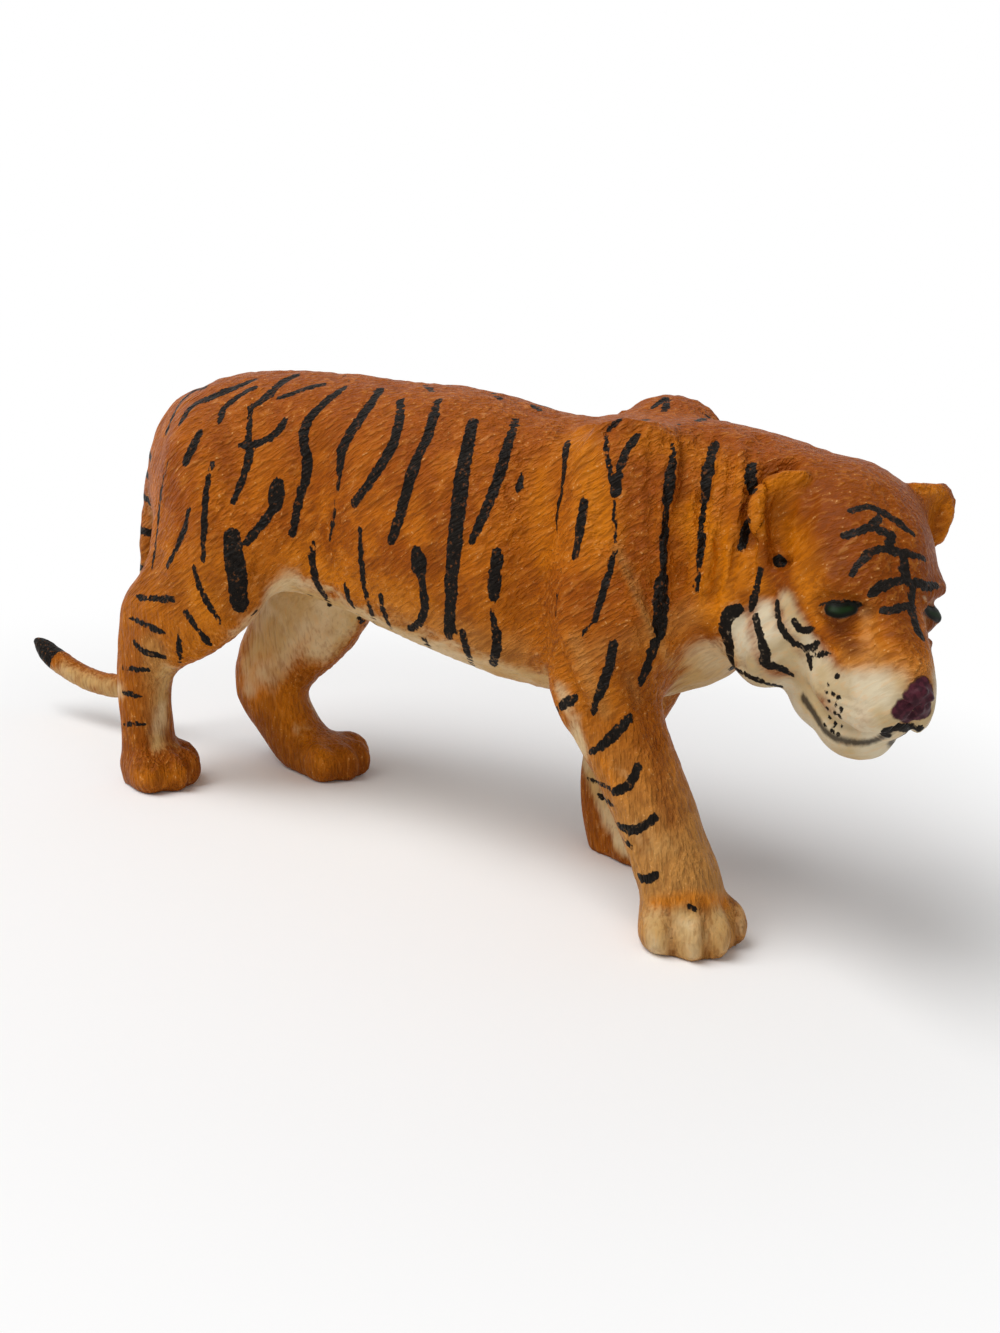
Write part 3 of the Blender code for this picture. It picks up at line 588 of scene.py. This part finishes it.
for place, lines in STRIPES.items():
    copied = {"cheek": across_face, "forehead": None}.get(place, other_side)
    for path, half_width in lines:
        line = skin.seen(path, step=4.0)
        half_width *= FOREHEAD_SPREAD if place == "forehead" else SPREAD
        skin.line("stripe", line, half_width, taper=0.5)
        if copied:
            skin.line("stripe", copied(line), half_width, taper=0.5)

# Whisker dots, the pit of the ear, and the grey line of the mouth
WHISKERS = (
    (837, 676), (828, 685), (826, 692), (833, 694), (839, 698), (829, 701), (836, 705), (841, 709),
    (827, 709), (834, 713), (840, 717), (830, 718), (836, 723), (842, 727), (825, 725), (832, 731),
    (838, 734),
)
WHISKER_DOT, EAR_PIT = 0.26, 0.8
for x, y in WHISKERS:
    spot = [skin.under(x, y)]
    for side in (spot, across_face(spot)):
        skin.line("stripe", side, WHISKER_DOT)
pit = [skin.under(779, 562)]
for side in (pit, across_face(pit)):
    skin.line("stripe", side, EAR_PIT)
MOUTH = ((804, 699), (816, 716), (825, 733), (845, 742), (867, 743), (884, 737), (891, 729), (905, 727))
mouth = near_half(skin.seen(MOUTH, step=3.0))
for side in (mouth, across_face(mouth)):
    skin.line("mouth", side, 0.62)
skin.line("mouth", mouth[:12], 0.78)

# Eyes and nose
near_eye = skin.seen(((829, 608), (839, 611), (852, 608)), step=3.0)
for side in (near_eye, across_face(near_eye)):
    skin.line("eye", side, 0.85, taper=0.4)
NOSE_LEATHER = (
    ((922, 684), (927, 700)), ((916, 690), (924, 706)), ((910, 698), (920, 711)), ((904, 706), (916, 716)),
    ((899, 712), (911, 719)),
)
for path in NOSE_LEATHER:
    nose = near_half(skin.seen(path, step=1.5))
    for side in (nose, across_face(nose)):
        skin.line("nose", side, 0.85)
lip = near_half(skin.seen(((884, 734), (890, 729), (898, 727), (912, 728)), step=2.0))
for side in (lip, across_face(lip)):
    skin.line("stripe", side, 0.55)

# Bands of the tail, and its black tip, measured along the tail from the rump
TAIL_LINE = (
    (-48.4, 0.6, 48.8), (-51.6, 0.8, 45.0), (-53.8, 1.0, 38.0), (-55.2, 1.4, 29.0), (-55.9, 1.8, 20.0),
    (-57.4, 2.4, 12.5), (-61.2, 2.8, 8.0), (-67.0, 3.0, 7.0), (-73.0, 3.0, 8.0), (-77.6, 3.0, 9.8),
    (-81.2, 3.0, 12.1),
)
TAIL_BANDS = ((7.0, 0.55), (9.6, 0.5), (13.2, 0.55), (18.0, 0.6), (23.5, 0.55), (29.0, 0.6), (44.0, 0.5))
TAIL_HALF_THICKNESS, TIP_LENGTH = 3.1, 6.4
tail_line = [Vector(point) + FIGURE_AT for point in TAIL_LINE]
tail_run = np.full(skin.count, -1.0)
tail_off = np.full(skin.count, 99.0)
run = 0.0
for first, second in zip(tail_line, tail_line[1:]):
    step = np.array(second - first)
    length = float(np.linalg.norm(step))
    share = np.clip((skin.points - np.array(first)) @ step / length**2, 0, 1)
    off = np.linalg.norm(skin.points - np.array(first) - share[:, None] * step, axis=1)
    closer = off < tail_off
    tail_off[closer] = off[closer]
    tail_run[closer] = run + share[closer] * length
    run += length
on_tail = tail_off < TAIL_HALF_THICKNESS
stripe = skin.layer("stripe", -2.0)
for at, half_width in TAIL_BANDS:
    band = np.where(on_tail, half_width - np.abs(tail_run - at), -2.0)
    stripe[:] = np.maximum(stripe, band)
stripe[:] = np.maximum(stripe, np.where(on_tail, tail_run - (run - TIP_LENGTH), -2.0))

# Cream where the orange spray stops: under the belly, inside the legs, the chest and the toes
normals = skin.normals
fore, left_side = lengths > 4, across > 0
inward = np.where(left_side, -normals[:, 1], normals[:, 1])
cream = skin.layer("cream", 0.0)
belly = eased(-normals[:, 2], 0.3, 0.85) * (1 - eased(heights, 31, 37)) * eased(heights, 20, 26)
inner = eased(inward, 0.1, 0.6) * (1 - eased(heights, 30, 38)) * eased(heights, 12, 25)
inner *= np.where(fore, 0.35, 1.0)
cream[:] = np.maximum(belly, inner) * (1 - face)
cream[:] = np.maximum(cream, np.where(on_tail, eased(-normals[:, 2], -0.2, 0.7) * 0.6, 0))
brown = skin.layer("brown", 0.0)
brown[:] = (1 - eased(heights, 6, 17)) * np.where(left_side, 0.4, 0.6) * (~fore | left_side) * ~on_tail
tan = skin.layer("tan", 0.0)
tan[:] = (1 - eased(heights, 9, 27)) * fore * ~left_side
under = (skin.points - np.array(HEAD_AT)) @ np.array(HEAD_TURN.to_3x3())
skin.layer("white", 0.0)[:] = (1 - eased(under[:, 2], -8.0, -5.5)) * eased(under[:, 0], -2, 3) * face

SPRAY = (
    # layer, line on the photograph, reach in mm, strength, and which way it is copied to the left
    ("cream", ((365, 628), (420, 654), (470, 672), (530, 692)), 2.6, 0.3, "body"),
    ("tan", ((365, 615), (420, 638), (500, 662), (540, 680)), 3.4, 0.6, "body"),
    ("cream", ((712, 656), (726, 664), (702, 688), (682, 702)), 5.2, 1.0, "body"),
    ("cream", ((690, 690), (715, 675), (735, 655)), 4.0, 0.8, "body"),
    ("cream", ((560, 690), (574, 722), (582, 745)), 2.0, 0.7, "body"),
    ("cream", ((577, 738), (588, 770), (606, 810), (620, 838)), 2.2, 1.0, "body"),
    ("cream", ((618, 768), (628, 776)), 1.0, 0.6, "body"),
    ("cream", ((640, 835), (652, 850), (668, 845)), 3.0, 0.35, "body"),
    ("cream", ((652, 922), (655, 952)), 3.2, 0.9, "body"),
    ("cream", ((686, 924), (690, 952)), 3.2, 0.9, "body"),
    ("cream", ((719, 918), (724, 945)), 3.0, 0.75, "body"),
    ("cream", ((741, 912), (743, 930)), 2.0, 0.5, "body"),
    ("cream", ((285, 590), (300, 620), (275, 650), (262, 670)), 6.0, 0.7, "none"),
    ("cream", ((320, 600), (335, 625), (320, 650)), 4.0, 0.6, "none"),
    ("cream", ((250, 622), (232, 650), (205, 690)), 1.8, 0.5, "body"),
    ("cream", ((168, 668), (163, 700), (158, 742)), 2.6, 0.75, "body"),
    ("orange", ((135, 775), (155, 780), (180, 776)), 2.4, 0.5, "body"),
    ("cream", ((182, 690), (178, 720), (176, 745)), 1.6, 0.4, "body"),
    ("cream", ((120, 690), (100, 685), (80, 678), (64, 670)), 2.6, 0.8, "none"),
    ("tan", ((155, 650), (163, 690), (160, 720)), 3.4, 1.0, "body"),
    ("tan", ((690, 770), (700, 820), (712, 870)), 4.0, 0.7, "body"),
    ("tan", ((600, 650), (640, 640), (700, 610)), 2.6, 0.35, "body"),
    ("tan", ((380, 600), (440, 625), (520, 650)), 3.0, 0.4, "body"),
    ("brown", ((320, 745), (345, 765), (360, 768)), 4.0, 0.4, "none"),
    ("brown", ((590, 770), (600, 800), (610, 835)), 3.0, 0.6, "none"),
    ("brown", ((630, 530), (640, 560), (650, 600)), 2.4, 0.25, "body"),
    ("brown", ((600, 600), (618, 640), (636, 690), (652, 735)), 3.0, 0.6, "body"),
    ("brown", ((652, 740), (660, 780), (672, 820)), 2.2, 0.6, "body"),
    ("brown", ((218, 415), (226, 440), (222, 470)), 2.4, 0.4, "body"),
    ("orange", ((262, 655), (250, 680), (262, 700)), 4.0, 1.0, "none"),
    ("cream", ((262, 640), (246, 665), (248, 690)), 2.6, 0.6, "none"),
    ("orange", ((655, 905), (690, 897), (725, 903)), 1.5, 0.95, "body"),
    # painted shade in the clefts between the toes
    ("brown", ((668, 908), (671, 930), (672, 952)), 0.9, 0.5, "none"),
    ("brown", ((702, 905), (706, 930), (707, 954)), 0.9, 0.5, "none"),
    ("brown", ((733, 900), (738, 925), (738, 944)), 0.9, 0.5, "none"),
    ("brown", ((658, 912), (690, 905), (722, 908)), 0.9, 0.35, "none"),
    ("orange", ((603, 760), (614, 788)), 1.1, 0.7, "body"),
    ("orange", ((575, 440), (590, 470), (600, 530)), 4.2, 0.85, "body"),
    ("orange", ((540, 480), (538, 520), (545, 560)), 3.6, 0.5, "body"),
    ("orange", ((700, 520), (722, 560), (718, 610)), 4.4, 1.0, "body"),
    ("orange", ((640, 440), (690, 450), (740, 480)), 3.4, 0.5, "body"),
    ("orange", ((300, 560), (350, 590), (420, 600)), 4.0, 0.6, "body"),
    ("orange", ((200, 600), (215, 630), (190, 660)), 4.0, 0.7, "body"),
    # painted highlight along the ridge of the shoulder
    ("tan", ((616, 548), (632, 580), (654, 636), (672, 666)), 1.0, 0.7, "body"),
    ("tan", ((628, 676), (638, 700)), 1.0, 0.6, "body"),
    ("tan", ((575, 640), (590, 680), (604, 712)), 1.6, 0.5, "body"),
    # painted highlight along the rim of the ear
    ("orange", ((757, 530), (757, 505), (766, 488), (784, 478), (802, 477)), 1.6, 0.9, "face"),
    ("orange", ((270, 690), (300, 725), (320, 750)), 5.0, 0.9, "none"),
    ("white", ((738, 624), (743, 645), (750, 668)), 3.0, 1.0, "face"),
    ("white", ((764, 612), (768, 640), (780, 656)), 2.6, 1.0, "face"),
    ("white", ((777, 640), (792, 662), (812, 674)), 3.2, 1.0, "face"),
    ("white", ((786, 602), (792, 620), (806, 640)), 2.2, 0.95, "face"),
    ("white", ((745, 676), (770, 690), (792, 690)), 2.2, 1.0, "face"),
    ("white", ((783, 688), (800, 690), (814, 680)), 2.4, 1.0, "face"),
    ("white", ((815, 668), (835, 690), (850, 715)), 3.8, 1.0, "face"),
    ("white", ((854, 686), (868, 698), (882, 714)), 3.4, 1.0, "face"),
    ("white", ((874, 688), (886, 698), (896, 708)), 2.8, 0.95, "face"),
    ("white", ((888, 682), (900, 686)), 2.2, 0.6, "face"),
    ("white", ((876, 668), (896, 672)), 2.4, 0.3, "face"),
    ("white", ((838, 640), (846, 656)), 2.2, -0.6, "face"),
    ("white", ((812, 690), (825, 715), (845, 735), (875, 735), (890, 722)), 3.2, 1.0, "face"),
    ("white", ((805, 705), (815, 730), (835, 750), (865, 756), (885, 748)), 3.0, 1.0, "face"),
    ("white", ((866, 616), (866, 640)), 1.8, 0.3, "face"),
    ("white", ((893, 738), (905, 735)), 1.8, 1.0, "face"),
    # painted highlight at the top of the far eye
    ("white", ((925, 598), (932, 603)), 0.6, 0.6, "none"),
    # painted shade round the eyes and under them
    ("painted_shade", ((820, 606), (842, 624), (864, 608)), 1.7, 0.95, "face"),
    ("painted_shade", ((838, 628), (846, 642), (852, 650)), 1.8, 0.85, "face"),
    ("orange", ((786, 492), (781, 512), (780, 536)), 2.6, 0.4, "face"),
    # painted shade in the groove behind the edge of the ear
    ("painted_shade", ((748, 545), (745, 518), (750, 490), (768, 470)), 1.1, 0.4, "face"),
    # painted shade between the eyes, on the forehead and under the brows
    ("painted_shade", ((900, 600), (905, 630), (912, 645)), 2.4, 0.6, "none"),
    ("painted_shade", ((880, 560), (890, 590)), 3.0, 0.35, "face"),
    ("painted_shade", ((820, 560), (850, 575), (870, 590)), 2.4, 0.3, "face"),
    ("orange", ((760, 590), (745, 575), (752, 556)), 2.4, 0.7, "face"),
    ("orange", ((800, 580), (812, 600), (818, 620)), 1.8, 0.6, "face"),
    ("orange", ((868, 640), (862, 622)), 1.6, 0.5, "face"),
    ("orange", ((862, 620), (878, 642), (900, 656)), 3.2, 0.4, "face"),
    ("orange", ((836, 650), (848, 660), (860, 664)), 1.8, 0.5, "face"),
    ("orange", ((796, 540), (808, 568), (814, 594)), 3.2, 0.6, "face"),
    ("tan", ((852, 664), (874, 668), (900, 674)), 3.0, 0.9, "face"),
    ("tan", ((866, 612), (869, 640), (876, 662)), 1.6, 0.6, "face"),
)
for name, path, reach, strength, way in SPRAY:
    line = skin.seen(path, step=6.0)
    skin.dab(name, line, reach, strength)
    copied = {"face": across_face, "body": other_side, "none": None}[way]
    if copied:
        skin.dab(name, copied(line), reach, strength)
skin.layer("back", 0.0)[:] = eased(heights, 40, 55) * (1 - 0.4 * face)
skin.layer("low", 0.0)[:] = (1 - eased(heights, 26, 40)) * (1 - face)
skin.layer("coat", 0.0)[:] = coat
skin.layer("leg_hair", 0.0)[:] = legs
skin.layer("face_hair", 0.0)[:] = face
skin.keep()


def colour(code):
    """A written sRGB colour in the linear values that the shaders take."""
    parts = [int(code[place:place + 2], 16) / 255 for place in (1, 3, 5)]
    return tuple(p / 12.92 if p <= 0.04045 else ((p + 0.055) / 1.055) ** 2.4 for p in parts) + (1.0,)


# Acrylic, sprayed and brushed over soft PVC. The thin paint has a low gloss, and the carving under
# it breaks that up: the colour is paler on the tops of the strands and darker between them, and
# painted highlights stand as pale glints on the strand tops.
paint = bpy.data.materials.new("brushed acrylic over moulded pvc")
paint.use_nodes = True
tree = paint.node_tree


def node(kind, inputs=None, take=0, **settings):
    """Add a node with its settings, feed its inputs with values or links, and give one output."""
    made = tree.nodes.new("ShaderNode" + kind)
    for name, value in settings.items():
        setattr(made, name, value)
    for name, value in (inputs or {}).items():
        if isinstance(value, bpy.types.NodeSocket):
            tree.links.new(value, made.inputs[name])
        else:
            made.inputs[name].default_value = value
    return made.outputs[take]


# Noise: spacing in mm, detail, stretch along the strands, turn of the strands, roughness. The
# painted highlights, glints on the strand tops, are drawn 0.3 mm apart, about three pixels of the
# render, so that they show
GRAINS = {
    "blotch": (7.0, 3.0, 1.0, 0, 0.5),
    "brushing": (1.4, 3.0, 3.2, 38, 0.5),
    "streak": (2.2, 4.0, 2.4, 25, 0.5),
    "waver": (1.7, 1.0, 1.0, 0, 0.5),
    "ragged": (0.42, 3.0, 1.8, 0, 0.5),
    "speck": (0.5, 2.0, 1.0, 0, 0.5),
    "glint": (0.3, 1.0, 1.0, 0, 0.5),
    "back_strands": (0.46, 2.0, 5.0, 52, 0.55),
    "leg_strands": (0.44, 2.0, 5.0, -8, 0.55),
    "folds": (0.95, 2.0, 2.2, 40, 0.5),
}
place = node("TexCoord", take="Object")
grain = {}
for name, (spacing, detail, stretch, turn, rough) in GRAINS.items():
    size = spacing * MM
    scaled = node("Mapping", {
        "Vector": place, "Rotation": (0, math.radians(turn), 0), "Scale": (size, size, size * stretch),
    }, vector_type="TEXTURE")
    grain[name] = node("TexNoise", {"Vector": scaled, "Scale": 1.0, "Detail": detail, "Roughness": rough})
layer = {name: node("Attribute", take="Fac", attribute_name=name) for name in skin.layers}
strands = node("Mix", {
    0: layer["leg_hair"], 2: grain["back_strands"], 3: grain["leg_strands"],
}, data_type="FLOAT")
strands = node("MapRange", {0: strands, 1: 0.3, 2: 0.7}, interpolation_type="SMOOTHSTEP")

# Paints that vary between two tones, and the noise that they follow
TONES = {
    "orange": ("#B8630A", "#954805", "blotch", 0.36, 0.64),
    "cream": ("#D2B78B", "#C29E66", "blotch", 0.4, 0.6),
    "white": ("#CFC0A2", "#BBA379", "blotch", 0.4, 0.62),
    "nose": ("#4C212B", "#36161F", "speck", 0.4, 0.6),
    "stripe": ("#130E09", "#241E18", "speck", 0.45, 0.7),
}
tone = {}
for name, (first, second, pattern, low, high) in TONES.items():
    share = node("MapRange", {0: grain[pattern], 1: low, 2: high}, interpolation_type="SMOOTHSTEP")
    tone[name] = node("Mix", {0: share, 6: colour(first), 7: colour(second)}, take=2, data_type="RGBA")
share = node("MapRange", {0: layer["eye"], 1: 0.3, 2: 0.75}, interpolation_type="SMOOTHSTEP")
tone["eye"] = node("Mix", {0: share, 6: colour("#080A03"), 7: colour("#0C2204")}, take=2, data_type="RGBA")

# Soft sprayed tones over the orange: redder on the back and yellower low on the flank. The browner
# head and the darkest layer are painted shade, and some dabs hold painted shade and painted
# highlights. Each layer places its own colour, and the number is its share where it is fullest
coat = tone["orange"]
for name, code, fullest in (
    ("back", "#9A4C12", 0.7),
    ("low", "#AE6511", 0.5),
    # painted shade: the whole head a browner orange
    ("face_hair", "#7C3902", 0.7),
    ("tan", "#BC8848", 0.8),
    ("brown", "#7F3B02", 0.9),
    ("orange", "#D0780C", 0.9),
    # painted shade round the eyes, between them, under the brows and behind the ear
    ("painted_shade", "#612B04", 0.9),
):
    share = node("Math", {0: layer[name], 1: fullest}, operation="MULTIPLY")
    coat = node("Mix", {0: share, 6: coat, 7: colour(code)}, take=2, data_type="RGBA")

# Cream and white, laid bare in streaks where the orange thins out
patchy = node("Math", {0: grain["streak"], 1: 0.8, 2: -0.5}, operation="MULTIPLY_ADD")
patchy = node("Math", {0: strands, 1: 0.2, 2: patchy}, operation="MULTIPLY_ADD")
covered = {}
for name, broken, high in (("cream", 1.0, 1.05), ("white", 0.5, 1.0)):
    share = node("Math", {0: patchy, 1: broken, 2: layer[name]}, operation="MULTIPLY_ADD")
    covered[name] = node("MapRange", {0: share, 1: 0.08, 2: high}, interpolation_type="SMOOTHSTEP")
pale = node("Math", {0: covered["cream"], 1: 0.75}, operation="MULTIPLY")
pale = node("Math", {0: covered["white"], 1: pale}, operation="MAXIMUM")
bare = node("Math", {0: pale, 1: -0.9, 2: 1.0}, operation="MULTIPLY_ADD")

# Brush marks, paler strand tops, painted glints of highlight on them, and darker grooves and dents
brushed = node("MapRange", {0: grain["brushing"], 1: 0.56, 2: 0.8, 4: 0.16}, interpolation_type="SMOOTHSTEP")
pale_tops = node("MapRange", {0: strands, 1: 0.6, 2: 1.0, 4: 0.16}, interpolation_type="SMOOTHSTEP")
painted_glints = node("MapRange", {0: grain["glint"], 1: 0.6, 2: 0.74, 4: 0.5}, interpolation_type="SMOOTHSTEP")
painted_glints = node("Math", {
    0: painted_glints, 1: node("MapRange", {0: strands, 1: 0.6, 2: 0.95}, interpolation_type="SMOOTHSTEP"),
}, operation="MULTIPLY")
grooves = node("MapRange", {0: strands, 1: 0.0, 2: 0.42, 3: 0.34, 4: 0.0}, interpolation_type="SMOOTHSTEP")
dents = node("MapRange", {
    0: layer["coat"], 1: -0.55, 2: -0.1, 3: 0.3, 4: 0.0,
}, interpolation_type="SMOOTHSTEP")

# Brushed detail, with a ragged edge: roughness, waver, and the depths where the paint starts
# and covers, in mm
ragged = node("Math", {0: grain["ragged"], 1: 0.62, 2: -0.31}, operation="MULTIPLY_ADD")
waver = node("Math", {0: grain["waver"], 1: 0.42, 2: -0.21}, operation="MULTIPLY_ADD")
for name, rough, swing, low, high in (
    ("mouth", 0.8, 0.0, -0.15, 0.5),
    ("nose", 0.6, 0.0, -0.05, 0.25),
    ("stripe", 1.0, 1.0, -0.05, 0.06),
    ("eye", 0.0, 0.0, -0.1, 0.15),
):
    edge = node("Math", {0: ragged, 1: rough, 2: layer[name]}, operation="MULTIPLY_ADD")
    edge = node("Math", {0: waver, 1: swing, 2: edge}, operation="MULTIPLY_ADD")
    covered[name] = node("MapRange", {0: edge, 1: low, 2: high}, interpolation_type="SMOOTHSTEP")
dry_brush = node("MapRange", {
    0: grain["speck"], 1: 0.6, 2: 0.72, 3: 1.0, 4: 0.7,
}, interpolation_type="SMOOTHSTEP")

# The coats in the order that they go on: where they lie, how much of that shows, and the paint
for share, part, top in (
    (covered["cream"], 1.0, tone["cream"]),
    (covered["white"], 1.0, tone["white"]),
    (brushed, 1.0, colour("#D68A30")),
    (pale_tops, 1.0, colour("#D98F3A")),
    # painted highlight: pale glints on the strand tops
    (painted_glints, bare, colour("#E8B070")),
    (grooves, bare, colour("#5E2A03")),
    (dents, bare, colour("#6E3303")),
    (covered["mouth"], 0.9, colour("#2C251F")),
    (covered["nose"], 1.0, tone["nose"]),
    (covered["stripe"], dry_brush, tone["stripe"]),
    (covered["eye"], 1.0, tone["eye"]),
):
    share = node("Math", {0: share, 1: part}, operation="MULTIPLY")
    coat = node("Mix", {0: share, 6: coat, 7: top}, take=2, data_type="RGBA")

# The finest strands, about half a millimetre apart, with 1 mm folds under them. They are soft on
# the face and the pale parts, and the varnished eyes and nose have none
varnish = node("Math", {0: covered["eye"], 1: covered["nose"]}, operation="MAXIMUM")
gloss = node("Math", {0: grain["speck"], 1: 0.2, 2: 0.34}, operation="MULTIPLY_ADD")
gloss = node("Math", {0: varnish, 1: -0.04, 2: gloss}, operation="MULTIPLY_ADD")
deep = node("Math", {0: layer["face_hair"], 1: -0.55, 2: 1.0}, operation="MULTIPLY_ADD")
for soft, lost in ((pale, 0.8), (varnish, 1.0)):
    left = node("Math", {0: soft, 1: -lost, 2: 1.0}, operation="MULTIPLY_ADD")
    deep = node("Math", {0: deep, 1: left}, operation="MULTIPLY")
height = node("Math", {0: grain["folds"], 1: 1.8, 2: strands}, operation="MULTIPLY_ADD")
height = node("Math", {0: height, 1: deep}, operation="MULTIPLY")
shader = tree.nodes["Principled BSDF"]
shader.inputs["Specular IOR Level"].default_value = 0.08
tree.links.new(coat, shader.inputs["Base Color"])
tree.links.new(gloss, shader.inputs["Roughness"])
STRAND_DEPTH = 0.24 * MM
relief = node("Bump", {"Height": height, "Strength": 1.0, "Distance": STRAND_DEPTH})
tree.links.new(relief, shader.inputs["Normal"])

tiger.data.materials.clear()
tiger.data.materials.append(paint)
for polygon in tiger.data.polygons:
    polygon.use_smooth = True
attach(tiger, "root")
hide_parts("tiger_body")

# Table top
# A sheet of white paper under the figurine that takes its soft shadow. Away from the figurine
# the sheet is plain white to the eye, as the backdrop is.
bpy.ops.mesh.primitive_plane_add(size=4.0, location=(0, 0, 0))
floor = bpy.context.active_object
floor.name = "floor"
sheet = bpy.data.materials.new("white paper sheet")
sheet.use_nodes = True
tree = sheet.node_tree
paper = tree.nodes["Principled BSDF"]
paper.inputs["Base Color"].default_value = colour("#FAFAFA")
paper.inputs["Roughness"].default_value = 0.9
paper.inputs["Specular IOR Level"].default_value = 0.1
SEEN_RAYS = ("Is Camera Ray", "Is Glossy Ray", "Is Transmission Ray")
shown = 0.0
for ray in SEEN_RAYS:
    shown = node("Math", {0: shown, 1: node("LightPath", take=ray)}, operation="MAXIMUM")
SHADOW_WHOLE_TO, SHADOW_GONE_AT = 0.065, 0.13
from_middle = node("VectorMath", {0: node("TexCoord", take="Object")}, take="Value", operation="LENGTH")
away = node("MapRange", {
    0: from_middle, 1: SHADOW_WHOLE_TO, 2: SHADOW_GONE_AT,
}, interpolation_type="SMOOTHSTEP")
tree.links.new(node("MixShader", {
    0: node("Math", {0: shown, 1: away}, operation="MULTIPLY"),
    1: paper.outputs["BSDF"],
    2: node("Emission", {"Color": (1, 1, 1, 1), "Strength": 1.0}),
}), tree.nodes["Material Output"].inputs["Surface"])
floor.data.materials.append(sheet)

# Studio light
# A soft box up and to the left, as a window would be, a weak one low on the right, and an even
# surround. The backdrop is white to the eye and lights the figurine more weakly.
world = bpy.data.worlds.new("studio")
bpy.context.scene.world = world
world.use_nodes = True
tree = world.node_tree
surround = tree.nodes["Background"]
surround.inputs["Color"].default_value = (1, 1, 1, 1)
SURROUND = 0.36
shown = 0.0
for ray in SEEN_RAYS:
    shown = node("Math", {0: shown, 1: node("LightPath", take=ray)}, operation="MAXIMUM")
lit = node("MapRange", {0: shown, 3: SURROUND, 4: 1.0})
tree.links.new(lit, surround.inputs["Strength"])


def soft_box(name, at, size, power):
    lamp = bpy.data.lights.new(name, "AREA")
    lamp.shape = "SQUARE"
    lamp.size = size
    lamp.energy = power
    thing = bpy.data.objects.new(name, lamp)
    bpy.context.scene.collection.objects.link(thing)
    thing.location = at
    thing.rotation_euler = (-Vector(at)).to_track_quat("-Z", "Y").to_euler()


soft_box("key_light", (-0.3, -0.4, 0.84), 0.7, 7.6)
soft_box("fill_light", (0.6, -0.5, 0.3), 0.5, 0.25)

bpy.context.scene.view_settings.view_transform = "Standard"
